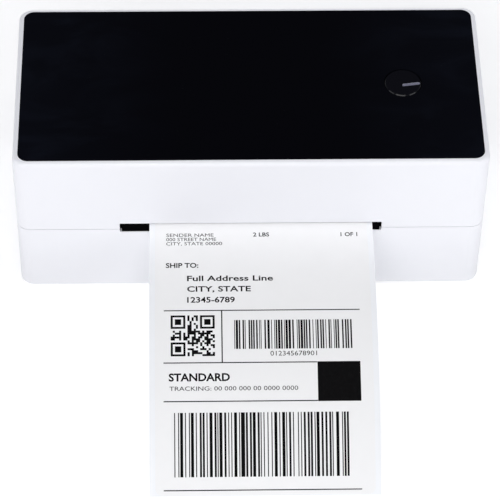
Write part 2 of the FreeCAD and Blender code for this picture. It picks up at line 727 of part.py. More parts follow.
def motor():
    half = motorSize / 2
    body = box("motor_block", (-plateHalf, -plateHalf + motorLength),
               (motorY - half, motorY + half), (motorZ - half, motorZ + half))
    body = rounded("motor_case", body, 2.5,
                   lambda edge: edge.BoundBox.XLength > 1 and edge.BoundBox.YLength < 0.01
                   and edge.BoundBox.ZLength < 0.01)
    tools = [rod("motor_bore", "X", (motorY, motorZ), (-plateHalf - 1, -plateHalf + motorLength + 1), 2.55)]
    tools += [rod("motor_tap", "X", spot, (-plateHalf - 1, -plateHalf + 4.5), 1.25) for spot in motorHoles]
    keep("motor_body", cut("motor_body", body, *tools))
    keep("motor_shaft", rod("motor_shaft", "X", (motorY, motorZ),
                            (gearOut - 1.4, -plateHalf + motorLength - 0.5), 2.5))
    pinion = spurGear(float(sized("pinion_teeth")), gearModule, float(gearOut), float(gearMid) - 0.5, 2.5, 0.0)
    keep("motor_pinion", feature("motor_pinion", pinion, 0, motorY, motorZ))
    face = -plateHalf - plateThick
    parts = []
    for spot in motorHoles:
        blank = fuse("motor_screw_blank",
                     rod("motor_screw_head", "X", spot, (face - 1.5, face), 2.2),
                     rod("motor_screw_shank", "X", spot, (face, -plateHalf + 4.5), 1.25))
        parts.append(cut("motor_screw", blank, rod("motor_screw_drive", "X", spot, (face - 1.5, face - 0.8), 0.9)))
    keep("motor_screws", group("motor_screws", *parts))


def gearCover():
    """A hood round the two wheels that stand above the deck."""
    left, right = -plateHalf - 19.6, -plateHalf - 3.4
    back = size(-5)

    def hood(name, inset, rise):
        low, high = left + inset, right - inset
        reach = gearModule * (sized("platen_teeth") / 2 + 1) + 1.4 - inset
        roll = rod(name + "_roll", "X", (platenY, platenZ), (low, high), reach)
        tail = box(name + "_tail", (low, high), (platenY, back - inset), (deckTop - 6, deckTop + rise))
        return fuse(name, roll, tail)

    outer = cut("hood_outer", hood("hood_skin", size(0), 3.6),
                box("hood_floor", (left - 1, right + 1), (-halfY, 0), (0, deckTop)))
    # the shaft comes in through the inner wall
    way = rod("hood_shaft_way", "X", (platenY, platenZ), (right - 2, right + 1), shaftRadius + 2 * running)
    return keep("gear_cover", cut("gear_cover", outer, hood("hood_inside", size(0.8), 2.8), way))


def frontGuide():
    keep("front_guide", box("front_guide", (-plateHalf, plateHalf), (-inY + 0.4, platenY - 9.3), (30, bedTop - 0.1)))
    front, back = float(-halfY + 0.4), float(-inY - 0.2)
    half, low, tip, step = float(slotHalf - 1), float(slotFloor), float(bedTop), 1.0
    count = int(2 * half / step)
    spots = [Vector(-half, front, low), Vector(half, front, low)]
    for i in range(count, 0, -1):
        x = -half + 2 * half * i / count
        spots.append(Vector(x, front, tip - 0.7))
        spots.append(Vector(x - half / count, front, tip))
    spots.append(Vector(-half, front, tip - 0.7))
    blade = Part.Face(Part.makePolygon(spots + [spots[0]])).extrude(Vector(0, back - front, 0))
    keep("tear_bar", feature("tear_bar", blade))


# ---- label bed and media guides

recessY = (guideY - 15.6, guideY + 15.6)
legY = {-1: (guideY - rackPitch - 5, guideY - rackPitch - 1.3),
        1: (guideY + rackPitch + 1.3, guideY + rackPitch + 5)}
sensor = ((size(-2), size(10)), (size(-24), size(-16)))


def ordered(side, low, high):
    """A span on the right, or its mirror image on the left."""
    return (low, high) if side > 0 else (-high, -low)


def labelBed():
    parts = [box("bed_plate", (-bedHalf, bedHalf), (-26, inY - clear), (bedLow, bedTop)),
             box("bed_lip", (-slotHalf + 0.4, slotHalf - 0.4), (inY - clear, halfY - 0.2), (slotFloor, bedTop))]
    for side in (-1, 1):
        parts.append(box("bed_ear", ordered(side, bedHalf - 1, bedHalf + 10), (14, 46), (deckTop, deckTop + 2.5)))
    tools = [box("guide_recess", (-bedHalf + 0.5, bedHalf - 0.5), recessY, (bedTop - 1.3, bedTop + 1)),
             box("sensor_window", sensor[0], sensor[1], (bedLow - 1, bedTop + 1)),
             rod("pinion_hole", "Z", (size(0), guideY), (bedLow - 1, bedTop - 2), 2)]
    for side in (-1, 1):
        run = ordered(side, guideHalf - guideTravel - 9, guideHalf - 1)
        tools.append(box("guide_slot", run, (legY[side][0] - 0.6, legY[side][1] + 0.6), (bedLow - 1, bedTop)))
    tools += [rod("bed_screw_hole", "Z", spot, (deckTop - 1, deckTop + 4), 1.25) for spot in bedHoles]
    return keep("label_bed", cut("label_bed", fuse("bed_blank", *parts), *tools))


bedHoles = [(x, y) for x in (-bedHalf - 7, bedHalf + 7) for y in (size(19), size(41))]


def bedScrews():
    screws("bed_screws", bedHoles, deckTop + 2.5, deckTop, size(2.3), size(1.4), size(1.25))


def gapSensor():
    keep("gap_sensor", box("gap_sensor", sensor[0], sensor[1], (bedLow - 2, bedTop - 0.2)))


def mediaGuide(node, side):
    """A fence on a carriage, with a leg through the bed to a rack under it."""
    fence = box(node + "_fence", ordered(side, guideHalf, guideHalf + 1.4), (guideY - 15, guideY + 15),
                (bedTop - 1, bedTop + 8))
    carriage = box(node + "_carriage", ordered(side, guideHalf - 15, guideHalf + 1.4),
                   (guideY - 15, guideY + 15), (bedTop - 1, bedTop - 0.1))
    leg = box(node + "_leg", ordered(side, guideHalf - 8, guideHalf - 2), legY[side], (bedLow - 4.5, bedTop - 0.9))
    # whole teeth from inside the leg to the open fence, and three past the pinion
    outward = int(float(guideHalf) / (math.pi * float(rackModule)))
    outline = rackFace((-outward, 3), float(rackModule), 5.0, 0.08)
    rack = outline.extrude(Vector(0, 0, 3.6))
    if side > 0:
        rack.rotate(Vector(0, 0, 0), Vector(0, 0, 1), 180)
    play = float(rackPitch) + 0.1
    bar = feature(node + "_rack", rack, 0, float(guideY) + side * play, float(bedLow) - 4.5)
    return keep(node, fuse(node, fence, carriage, leg, bar))


def guidePinion():
    wheel = gearFace(int(float(guideTeeth)), float(rackModule), 0.06).extrude(Vector(3.2, 0, 0))
    wheel = wheel.cut(Part.makeCylinder(2 + float(running), 3.2, Vector(0, 0, 0), Vector(1, 0, 0)))
    wheel.rotate(Vector(0, 0, 0), Vector(0, 1, 0), -90)
    keep("guide_pinion", feature("guide_pinion", wheel, 0, guideY, float(bedLow) - 4.2))
    head = rod("stud_head", "Z", (size(0), guideY), (bedLow - 6, bedLow - 4.6), 4)
    shank = rod("stud_shank", "Z", (size(0), guideY), (bedLow - 4.6, bedTop - 2), 2)
    keep("pinion_stud", fuse("pinion_stud", head, shank))


# ---- electronics in the base

def mainBoard():
    holes = [(x, y, size(1.25)) for x, y in boardHoles]
    keep("main_board", plate("main_board", boardX, boardY, (boardZ, boardTop), 1.5, holes))
    screws("board_screws", boardHoles, boardTop, floorZ + 0.6, size(2.2), size(1.4), size(1.25))
    chips = [((10, 24), (20, 34), 1.4), ((32, 41), (18, 27), 1.2), ((-6, 1), (28, 35), 1.6), ((52, 60), (20, 25), 1.5)]
    keep("board_chips", group("board_chips", *[
        box("chip", x, y, (boardTop, boardTop + tall)) for x, y, tall in chips]))
    cans = [(-16, 26, 4.0, 12), (-16, 37, 4.0, 12), (28, 41, 3.0, 8)]
    keep("board_capacitors", group("board_capacitors", *[
        rounded("can", rod("can_body", "Z", (size(x), size(y)), (boardTop, boardTop + tall), radius), 0.6,
                atHeight(boardTop + tall)) for x, y, radius, tall in cans]))
    sockets = [((0, 10), (16, 21), 7), ((66, 80), (16, 21), 7)]
    tongue = box("usb_tongue", (usbX - 2.8, usbX + 2.8), (halfY - 10.5, halfY - 1.7),
                 (boardTop + 3.9, boardTop + 7.1))
    keep("board_headers", group("board_headers", tongue, *[
        box("header", x, y, (boardTop, boardTop + tall)) for x, y, tall in sockets]))


def rearSockets():
    jackZ = boardTop + 5.5
    body = box("jack_block", (jackX - 4.5, jackX + 4.5), (38, halfY - 0.5), (boardTop, boardTop + 11))
    keep("dc_jack", cut("dc_jack", body, rod("jack_bore", "Y", (jackX, jackZ), (halfY - 10.5, halfY), 3.2)))
    keep("dc_contact", rod("dc_contact", "Y", (jackX, jackZ), (halfY - 10.5, halfY - 2), 1))
    shell = box("usb_block", (usbX - 6, usbX + 6), (36, halfY - 0.5), (boardTop, boardTop + 11))
    room = box("usb_room", (usbX - 4.3, usbX + 4.3), (halfY - 10.5, halfY), (jackZ - 3.95, jackZ + 3.95))
    room = rounded("usb_mouth", room, 1.6,
                   lambda edge: edge.BoundBox.YLength > 1 and abs(edge.BoundBox.ZMin - float(jackZ) - 3.95) < 0.01)
    keep("usb_port", cut("usb_port", shell, room))


def powerSwitch():
    case = box("switch_case", (switchX - 6.4, switchX + 6.4), (halfY - 16, halfY), (switchZ - 9.4, switchZ + 9.4))
    bezel = box("switch_bezel", (switchX - 7.6, switchX + 7.6), (halfY, halfY + 1.6), (switchZ - 10.6, switchZ + 10.6))
    room = box("switch_room", (switchX - 5.2, switchX + 5.2), (halfY - 6.5, halfY + 2), (switchZ - 8.6, switchZ + 8.6))
    pivot = rod("switch_pivot", "X", (halfY - 0.5, switchZ), (switchX - 6.2, switchX + 6.2), 1 + running)
    keep("switch_housing", cut("switch_housing", fuse("switch_blank", case, bezel), room, pivot))
    outline = [(-3, -5.5), (2.6, -7.6), (1.6, 0), (2.6, 7.6), (-3, 5.5)]
    spots = [Vector(-4.8, y, z) for y, z in outline]
    key = Part.Face(Part.makePolygon(spots + [spots[0]])).extrude(Vector(9.6, 0, 0))
    key = key.fuse(Part.makeCylinder(1, 12.2, Vector(-6.1, 0, 0), Vector(1, 0, 0)))
    key.rotate(Vector(0, 0, 0), Vector(1, 0, 0), -9)
    keep("switch_rocker", feature("switch_rocker", key, switchX, halfY - 0.5, switchZ))


def motorCable():
    """The motor's flat lead: straight runs joined by tangent arcs."""
    spots = [Vector(float(-plateHalf + motorLength), 6, 10), Vector(-21, 6, 10),
             Vector(-11, 18.5, 13.5), Vector(0, 18.5, 13.5)]
    edges, start = [], spots[0]
    for i in (1, 2):
        before = (spots[i - 1] - spots[i]).normalize()
        after = (spots[i + 1] - spots[i]).normalize()
        back = 0.45 * min((spots[i - 1] - spots[i]).Length, (spots[i + 1] - spots[i]).Length)
        first, last = spots[i] + before * back, spots[i] + after * back
        inward = (before + after).normalize()
        half = before.getAngle(after) / 2
        middle = spots[i] + inward * (back / math.cos(half) - back * math.tan(half))
        edges.append(Part.LineSegment(start, first).toShape())
        edges.append(Part.Arc(first, middle, last).toShape())
        start = last
    edges.append(Part.LineSegment(start, spots[-1]).toShape())
    section = Part.Wire(Part.makeCircle(1.2, spots[0], Vector(1, 0, 0)))
    tube = Part.Wire(edges).makePipeShell([section], True, False)
    length = sum(edge.Length for edge in edges)
    print("motor lead: volume ratio %.4f" % (tube.Volume / (math.pi * 1.2 ** 2 * length)))
    keep("motor_cable", feature("motor_cable", tube))


# ---- lid

carrierTop = headZ + 10
carrierLow = carrierTop - 2
carrierHoles = [(x, y) for x in (size(-46), size(46)) for y in (size(-42), size(-8))]
stemLow = ceiling - clear - 3.4
buttonTop = height + 0.2
switchTop = stemLow - buttonTravel - clear
ledBoardTop = switchTop - 3.6
ledBoardHoles = [(buttonX - 16, buttonY + 10), (buttonX + 16, buttonY - 10)]
ribX = inX - 13.1


def lidShell():
    block = box("lid_box", (-halfX, halfX), (-halfY, halfY), (partLine, height))
    block = rounded("lid_block", block, planRadius, upright)
    block = rounded("lid_soft", block, rimRound, atHeight(height))
    inside = box("lid_inside", (-inX, inX), (-inY, inY), (partLine - 1, ceiling))
    inside = rounded("lid_cavity", inside, planRadius - wall, upright)
    tray = box("panel_tray", (-halfX + rimWidth, halfX - rimWidth), (-halfY + rimWidth, halfY - rimWidth),
               (height - panelThick, height + 1))
    tray = rounded("panel_recess", tray, panelRadius, upright)
    tools = [inside, tray,
             box("lid_slot", (-slotHalf, slotHalf), (-halfY - 1, -inY + 1), (partLine - 1, slotTop)),
             box("lid_inlet", (-slotHalf, slotHalf), (inY - 1, halfY + 1), (partLine - 1, inletTop)),
             rod("lid_button_hole", "Z", (buttonX, buttonY), (ceiling - 1, height), buttonRadius + 0.7)]
    for side in (-1, 1):
        window = box("release_window", ordered(side, inX - 1, halfX + 1), (releaseY - 8, releaseY + 8),
                     (releaseZ - 4, releaseZ + 4))
        tools.append(rounded("release_opening", window, 2, lambda edge: edge.BoundBox.XLength > 1
                             and edge.BoundBox.YLength < 0.01 and edge.BoundBox.ZLength < 0.01))
    reliefs = [(low - partGap, high + partGap) for low, high in baseKnuckles]
    tools += hingeRods("lid_relief", reliefs, hingeRadius + clear)
    shell = cut("lid_hollow", block, *tools)
    extras = hingeRods("lid_knuckle", [lidKnuckle], hingeRadius)
    extras += [rod("carrier_boss", "Z", spot, (carrierTop, ceiling + 0.5), 3.5) for spot in carrierHoles]
    extras += [rod("led_boss", "Z", spot, (ledBoardTop, ceiling + 0.5), 3) for spot in ledBoardHoles]
    for side in (-1, 1):
        extras.append(box("release_rib", ordered(side, ribX - 2, ribX), (releaseY - 7, releaseY + 7),
                          (releaseZ - 6, ceiling + 0.5)))
    shell = fuse("lid_body", shell, *extras)
    pilots = hingeRods("lid_pin_hole", [(lidKnuckle[0] - 1, lidKnuckle[1] + 1)], hingePin + running)
    pilots += [rod("carrier_pilot", "Z", spot, (carrierTop - 1, carrierTop + 8), 1.25) for spot in carrierHoles]
    pilots += [rod("led_pilot", "Z", spot, (ledBoardTop - 1, ledBoardTop + 6), 1) for spot in ledBoardHoles]
    return keep("lid_shell", cut("lid_shell", shell, *pilots))


def topPanel():
    return keep("top_panel", plate("top_panel", (-halfX + rimWidth, halfX - rimWidth),
                                   (-halfY + rimWidth, halfY - rimWidth), (height - panelThick, height),
                                   panelRadius, [(buttonX, buttonY, buttonRadius + clear)]))


def feedButton():
    rise = buttonTop - stemLow
    outline = ((size(0), size(0)), (size(2), size(0)), (size(2), size(1.6)), (buttonRadius + 2.2, size(1.6)),
               (buttonRadius + 2.2, size(3.4)), (buttonRadius, size(3.4)), (buttonRadius, rise - 0.4),
               (buttonRadius - 0.4, rise), (size(0), rise))
    cap = turned("button_cap", "Z", (buttonX, buttonY), stemLow, outline)
    bars = []
    tilt = Rotation(Vector(0, 0, 1), 8)
    corner = Vector(3.9, -1.15, 0) - tilt.multVec(Vector(4.4, 0.8, 0))
    for name, over in (("light_pocket", 1.0), ("light_bar", 0.0)):
        bar = doc.addObject("Part::Box", name)
        bar.Placement = Placement(Vector(), tilt)
        bind(bar, {"Length": 8.8, "Width": 1.6, "Height": 1.2 + over})
        place(bar, buttonX + corner.x, buttonY + corner.y, buttonTop - 1.2)
        bars.append(bar)
    keep("feed_button", cut("feed_button", cap, bars[0]))
    keep("button_light", bars[1])


def buttonBoard():
    holes = [(x, y, size(1)) for x, y in ledBoardHoles]
    keep("button_board", plate("button_board", (buttonX - 20, buttonX + 20), (buttonY - 14, buttonY + 14),
                               (ledBoardTop - 1.6, ledBoardTop), 1, holes))
    body = box("tact_body", (buttonX - 3, buttonX + 3), (buttonY - 3, buttonY + 3), (ledBoardTop, switchTop - 0.6))
    stem = rod("tact_stem", "Z", (buttonX, buttonY), (switchTop - 0.6, switchTop), 1.6)
    keep("tact_switch", fuse("tact_switch", body, stem))
    screws("button_board_screws", ledBoardHoles, ledBoardTop - 1.6, ledBoardTop + 5, size(2), size(1.2), size(1))


def headCarrier():
    parts = [box("carrier_plate", (-60, 60), (-46, -4), (carrierLow, carrierTop))]
    for side in (-1, 1):
        parts.append(box("carrier_cheek", ordered(side, size(57.5), size(60)), (headY - 8, headY + 8),
                         (headZ - 4, carrierLow + 0.5)))
    tools = [rod("carrier_pin_hole", "X", (headY, headZ), (-61, 61), 1.5)]
    tools += [rod("carrier_hole", "Z", spot, (carrierLow - 1, carrierTop + 1), 1.25) for spot in carrierHoles]
    keep("head_carrier", cut("head_carrier", fuse("carrier_blank", *parts), *tools))
    screws("carrier_screws", carrierHoles, carrierLow, carrierTop + 6, size(2.3), size(1.5), size(1.25))
    keep("head_pivot_pin", rod("head_pivot_pin", "X", (headY, headZ), (-60, 60), 1.5))


springSpots = (-36.0, 0.0, 36.0)


def printHead():
    low, top = headZ - 4.5, headZ - 2
    parts = [box("head_plate", (-54, 54), (platenY - 8, headY + 4), (low, top))]
    for i in range(10):
        x = -40.5 + 9 * i
        parts.append(box("head_fin", (x - 0.75, x + 0.75), (platenY - 5, headY - 8), (top - 0.5, top + 3)))
    for side in (-1, 1):
        parts.append(box("head_lug", ordered(side, size(51), size(56.5)), (headY - 3.5, headY + 3.5), (low, headZ + 3)))
    keep("head_bracket", cut("head_bracket", fuse("bracket_blank", *parts),
                             rod("head_bore", "X", (headY, headZ), (-58, 58), 1.5 + running)))
    strip = box("head_strip", (-54, 54), (platenY - 6, platenY + 6), (mediaTop + 0.9, low))
    bead = rod("head_bead", "X", (platenY, mediaTop + nipGap + 1.6), (-53, 53), 1.6)
    keep("thermal_head", fuse("thermal_head", strip, bead))
    coils = []
    for x in springSpots:
        coils.append(feature("head_spring", coil(2.6, 0.6, float(carrierLow - top) - 0.2, 5),
                             x, platenY, float(top) + 0.15))
    keep("head_springs", group("head_springs", *coils))


def releaseButton(node, side):
    """A flush button with a hooked arm that hangs behind it into the base."""
    back = inX - 5.6
    cap = box(node + "_cap", ordered(side, back, halfX - 0.2), (releaseY - 7.7, releaseY + 7.7),
              (releaseZ - 3.7, releaseZ + 3.7))
    cap = rounded(node + "_soft", cap, 1.8, lambda edge: edge.BoundBox.XLength > 1
                  and edge.BoundBox.YLength < 0.01 and edge.BoundBox.ZLength < 0.01)
    flange = box(node + "_flange", ordered(side, back, inX - 0.6), (releaseY - 10, releaseY + 10),
                 (releaseZ - 6, releaseZ + 6))
    arm = box(node + "_arm", ordered(side, back, back + 2), (releaseY - 5, releaseY + 5),
              (catchLow - 3, releaseZ - 5))
    hook = box(node + "_hook", ordered(side, back + 1.5, inX - 2.6), (releaseY - 5, releaseY + 5),
               (catchLow - 3, catchLow - 0.8))
    keep(node, fuse(node, cap, flange, arm, hook))


def latchSpring(node, side):
    gap = float(inX - 5.6 - ribX)
    spring = coil(2.4, 0.5, gap - 0.3, 4)
    spring.rotate(Vector(0, 0, 0), Vector(0, 1, 0), 90 * side)
    keep(node, feature(node, spring, side * (float(ribX) + 0.15), releaseY, releaseZ))


# ---- labels

def paper(width, low, thick, tail, short, start=None):
    """A paper layer: level from tail to the bend, then hanging along an arc.

    short is the length left off the free end; start ends a piece that never reaches the bend.
    """
    radius, bend = float(mediaRadius), float(-halfY - mediaBend)
    if start is not None:
        return Part.makeBox(width, tail - start, thick, Vector(float(mediaX) - width / 2, start, low))
    turn = math.radians(float(mediaTurn)) - short / radius
    centre = float(mediaLow) - radius

    def spot(r, angle):
        return Vector(0, bend - r * math.sin(angle), centre + r * math.cos(angle))

    inner = radius + low - float(mediaLow)
    outer = inner + thick
    edges = [Part.makeLine(Vector(0, tail, low), spot(inner, 0)),
             Part.Arc(spot(inner, 0), spot(inner, turn / 2), spot(inner, turn)).toShape(),
             Part.makeLine(spot(inner, turn), spot(outer, turn)),
             Part.Arc(spot(outer, turn), spot(outer, turn / 2), spot(outer, 0)).toShape(),
             Part.makeLine(spot(outer, 0), Vector(0, tail, low + thick)),
             Part.makeLine(Vector(0, tail, low + thick), Vector(0, tail, low))]
    sheetFace = Part.Face(Part.Wire(edges))
    sheetFace.translate(Vector(float(mediaX) - width / 2, 0, 0))
    return sheetFace.extrude(Vector(width, 0, 0))


def labels():
    thick, low = float(mediaThick), float(mediaLow)
    tail = float(platenY + linerTail)
    lead = 1.5
    liner = paper(float(linerWidth), low, thick, tail, 0.0)
    keep("label_liner", feature("label_liner", liner))
    hanging = float(mediaRadius) * math.radians(float(mediaTurn))
    bend = float(-halfY - mediaBend)
    labelEnd = bend + float(labelLength) + lead - hanging
    face = paper(float(labelWidth), low + thick, thick, labelEnd, lead)
    keep("printed_label", feature("printed_label", face))
    nextStart = labelEnd + float(labelGap)
    following = paper(float(labelWidth), low + thick, thick, tail - 0.5, 0.0, nextStart)
    keep("next_label", feature("next_label", following))
    print("label: printed end at y = %.2f, next from %.2f" % (labelEnd, nextStart))


baseShell()
bottomCover()
rubberFeet()
bottomScrews()
chassis()
hingePins()
platenBushes()
platen()
idler()
motor()
gearCover()
frontGuide()
labelBed()
bedScrews()
gapSensor()
mediaGuide("guide_left", -1)
mediaGuide("guide_right", 1)
guidePinion()
mainBoard()
rearSockets()
powerSwitch()
motorCable()
lidShell()
topPanel()
feedButton()
buttonBoard()
headCarrier()
printHead()
releaseButton("release_left", -1)
releaseButton("release_right", 1)
latchSpring("latch_spring_left", -1)
latchSpring("latch_spring_right", 1)
labels()

doc.recompute()
faults = [item.Name for item in doc.Objects if "Invalid" in item.State or "Error" in item.State]
for node, item in pieces:
    shape = item.Shape
    if shape.isNull() or not shape.isValid() or not shape.Solids:
        faults.append(node)
if faults:
    raise RuntimeError("failed objects: " + ", ".join(faults))
os.makedirs("parts", exist_ok=True)
for node, item in pieces:
    item.Shape.exportStep("parts/%s.step" % node)
print("%d pieces" % len(pieces))
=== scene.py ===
import math

import bmesh
import bpy
import numpy as np
from mathutils import Matrix, Vector


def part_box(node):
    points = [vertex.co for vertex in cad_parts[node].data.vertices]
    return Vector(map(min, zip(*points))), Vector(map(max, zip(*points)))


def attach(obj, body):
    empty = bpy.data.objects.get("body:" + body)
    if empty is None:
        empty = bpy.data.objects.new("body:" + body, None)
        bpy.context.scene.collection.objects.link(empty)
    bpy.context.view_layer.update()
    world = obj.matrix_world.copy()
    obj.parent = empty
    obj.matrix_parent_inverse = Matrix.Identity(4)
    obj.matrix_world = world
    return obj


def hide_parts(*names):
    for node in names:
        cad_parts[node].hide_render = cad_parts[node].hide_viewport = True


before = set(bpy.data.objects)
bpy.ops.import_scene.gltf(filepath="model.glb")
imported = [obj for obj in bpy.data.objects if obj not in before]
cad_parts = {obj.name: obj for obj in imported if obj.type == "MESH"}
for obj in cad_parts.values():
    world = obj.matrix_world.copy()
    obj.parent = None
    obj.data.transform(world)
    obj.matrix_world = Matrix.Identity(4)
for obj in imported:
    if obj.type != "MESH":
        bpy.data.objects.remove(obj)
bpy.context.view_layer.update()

mm = 0.001
scene = bpy.context.scene
print("frame loaded:", len(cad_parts), "nodes")

cameraMake = {
    "target": (-0.1 * mm, -50 * mm, 23.79 * mm),
    "azimuth": -1.917,       # degrees, turned about the vertical
    "elevation": 49.17,
    "roll": 1.025,
    "distance": 1295.3 * mm,
    "lens": 191.4,
    "sensor": 36,
    "clip": (0.02, 60),      # metres
}


def aim(azimuth, elevation):
    # unit vector from the object towards a viewer at that azimuth and elevation, azimuth 0 being the front
    turn, rise = math.radians(azimuth), math.radians(elevation)
    return Vector((math.sin(turn) * math.cos(rise), -math.cos(turn) * math.cos(rise), math.sin(rise)))


def setCamera(make):
    back = aim(make["azimuth"], make["elevation"])
    side = Vector((0, 0, 1)).cross(back).normalized()
    over = back.cross(side)
    roll = math.radians(make["roll"])
    right = math.cos(roll) * side + math.sin(roll) * over
    up = math.cos(roll) * over - math.sin(roll) * side
    data = bpy.data.cameras.new("camera")
    data.lens, data.sensor_width = make["lens"], make["sensor"]
    data.clip_start, data.clip_end = make["clip"]
    camera = bpy.data.objects.new("camera", data)
    place = Matrix((right, up, back)).transposed().to_4x4()
    place.translation = Vector(make["target"]) + back * make["distance"]
    camera.matrix_world = place
    scene.collection.objects.link(camera)
    scene.camera = camera


lampMake = {
    # azimuth, elevation, distance, width, height, power, colour
    "front": (-12, 40, 1.9, 1.5, 1.0, 15.2, (1.0, 0.99, 0.99)),
    "right": (62, 32, 1.8, 0.9, 1.2, 8, (0.96, 0.97, 1.0)),
    "left": (-72, 30, 1.8, 0.9, 1.2, 5, (0.95, 0.96, 1.0)),
    "above": (0, 84, 1.9, 1.4, 0.8, 9, (1.0, 1.0, 1.0)),
    "behind": (165, 20, 2.2, 1.4, 0.5, 8, (0.97, 0.98, 1.0)),
}


def addLamps(make):
    for name, (azimuth, elevation, distance, width, height, power, colour) in make.items():
        data = bpy.data.lights.new(name, "AREA")
        data.shape, data.size, data.size_y = "RECTANGLE", width, height
        data.energy, data.color = power, colour
        lamp = bpy.data.objects.new(name, data)
        towards = aim(azimuth, elevation)
        lamp.location = towards * distance
        lamp.rotation_euler = towards.to_track_quat("Z", "Y").to_euler()
        scene.collection.objects.link(lamp)


setCamera(cameraMake)
addLamps(lampMake)
scene.view_settings.view_transform = "Standard"
scene.view_settings.look = "None"
print("camera and lamps set")


class Signal:
    # one output socket of a tree; sums, differences and products of signals add their Math nodes
    def __init__(self, tree, socket):
        self.tree, self.socket = tree, socket

    def math(self, operation, *others):
        terms = dict(enumerate((self, *others)))
        return addNode(self.tree, "ShaderNodeMath", {"operation": operation}, terms)

    def __add__(self, other):
        return self.math("ADD", other)

    def __sub__(self, other):
        return self.math("SUBTRACT", other)

    def __mul__(self, other):
        return self.math("MULTIPLY", other)

    def __lt__(self, other):
        return self.math("LESS_THAN", other)

    __radd__, __rmul__ = __add__, __mul__


def addNode(tree, kind, settings=None, sockets=None, out=0):
    # any node: its settings first, a ramp's stops among them, and then the values or links of its sockets
    made = tree.nodes.new(kind)
    for key, value in (settings or {}).items():
        if key == "stops":
            ramp = made.color_ramp
            while len(ramp.elements) < len(value):
                ramp.elements.new(0.5)
            for element, (place, colour) in zip(ramp.elements, value):
                element.position, element.color = place, (*colour, 1)
        else:
            setattr(made, key, value)
    for key, value in (sockets or {}).items():
        if isinstance(value, Signal):
            tree.links.new(value.socket, made.inputs[key])
        elif isinstance(value, tuple) and len(value) == 3 and made.inputs[key].type == "RGBA":
            made.inputs[key].default_value = (*value, 1)
        else:
            made.inputs[key].default_value = value
    return Signal(tree, made.outputs[out])


class Finish:
    # one material: a Principled shader, and short names for the nodes that its pattern is made of
    def __init__(self, name, **constants):
        self.material = bpy.data.materials.new(name)
        self.material.use_nodes = True
        self.tree = self.material.node_tree
        self.shader = next(n for n in self.tree.nodes if n.type == "BSDF_PRINCIPLED")
        self.where = addNode(self.tree, "ShaderNodeTexCoord", out="Object")
        for socket, value in constants.items():
            self.put(socket.replace("_", " "), value)

    def put(self, socket, value):
        target = self.shader.inputs[socket]
        if isinstance(value, Signal):
            self.tree.links.new(value.socket, target)
        else:
            target.default_value = (*value, 1) if target.type == "RGBA" else value

    def node(self, kind, settings=None, sockets=None, out=0):
        return addNode(self.tree, kind, settings, sockets, out)

    def stretched(self, scale, turn=(0, 0, 0)):
        return self.node("ShaderNodeMapping", None,
                         {"Vector": self.where, "Scale": scale, "Rotation": turn})

    def noise(self, scale, detail=2, rough=0.5, where=None, distortion=0):
        return self.node("ShaderNodeTexNoise", None,
                         {"Vector": where or self.where, "Scale": scale, "Detail": detail,
                          "Roughness": rough, "Distortion": distortion})

    def cells(self, scale, feature="F1", metric="EUCLIDEAN", where=None, out="Distance"):
        return self.node("ShaderNodeTexVoronoi", {"feature": feature, "distance": metric},
                         {"Vector": where or self.where, "Scale": scale}, out)

    def part(self, axis, source=None):
        return self.node("ShaderNodeSeparateXYZ", None, {0: source or self.where}, axis)

    def eased(self, value, low, high):
        # 0 below low, 1 over high and a smooth step between them; low may be the larger one
        return self.node("ShaderNodeMapRange", {"interpolation_type": "SMOOTHSTEP"},
                         {"Value": value, "From Min": low, "From Max": high})

    def blend(self, factor, first, second):
        # the colour mix has its factor at socket 0, its colours at 6 and 7, and the result at output 2
        return self.node("ShaderNodeMix", {"data_type": "RGBA"}, {0: factor, 6: first, 7: second}, 2)

    def bump(self, height, depth):
        sockets = {"Height": height, "Distance": depth, "Strength": 1.0}
        self.put("Normal", self.node("ShaderNodeBump", None, sockets, "Normal"))
        return self


def shade(colour, factor):
    return tuple(min(1.0, max(0.0, c * factor)) for c in colour)


mouldedMake = {
    # colour and how far it varies, roughness and its spread, grain size and depth in mm, shine
    "white_shell": dict(colour=(0.855, 0.86, 0.895), cloud=0.02, rough=0.40, spread=0.07,
                        grain=0.42, depth=0.009),
    "white_inner": dict(colour=(0.80, 0.805, 0.84), cloud=0.03, rough=0.46, spread=0.08,
                        grain=0.36, depth=0.008),
    "cover_plastic": dict(colour=(0.62, 0.625, 0.65), cloud=0.04, rough=0.60, spread=0.08,
                          grain=0.75, depth=0.028),
    "black_plastic": dict(colour=(0.006, 0.006, 0.007), cloud=0.30, rough=0.55, spread=0.10,
                          grain=0.50, depth=0.014, shine=0.22),
    # slot_black is black plastic made darker: painted shade for the parts in the slot under the lid
    "slot_black": dict(colour=(0.0014, 0.0014, 0.0018), cloud=0.20, rough=0.72, spread=0.08,
                       grain=0.50, depth=0.010, shine=0.01),
    "rocker": dict(colour=(0.012, 0.012, 0.014), cloud=0.20, rough=0.30, spread=0.08,
                   grain=0.30, depth=0.004),
    "black_gloss": dict(colour=(0.003, 0.003, 0.005), cloud=0.20, rough=0.15, spread=0.05,
                        grain=0.90, depth=0.0006, shine=0.26),
    "gear_plastic": dict(colour=(0.78, 0.765, 0.70), cloud=0.05, rough=0.42, spread=0.08,
                         grain=0.30, depth=0.004),
    "bush": dict(colour=(0.03, 0.03, 0.034), cloud=0.20, rough=0.38, spread=0.08,
                 grain=0.35, depth=0.005),
    "connector": dict(colour=(0.76, 0.74, 0.66), cloud=0.05, rough=0.45, spread=0.08,
                      grain=0.28, depth=0.004),
    "chip": dict(colour=(0.016, 0.016, 0.018), cloud=0.25, rough=0.55, spread=0.08,
                 grain=0.18, depth=0.006),
    "cable": dict(colour=(0.02, 0.02, 0.022), cloud=0.25, rough=0.48, spread=0.10,
                  grain=0.60, depth=0.010),
    "feet_rubber": dict(colour=(0.020, 0.020, 0.021), cloud=0.30, rough=0.78, spread=0.10,
                        grain=0.35, depth=0.020, shine=0.3),
}
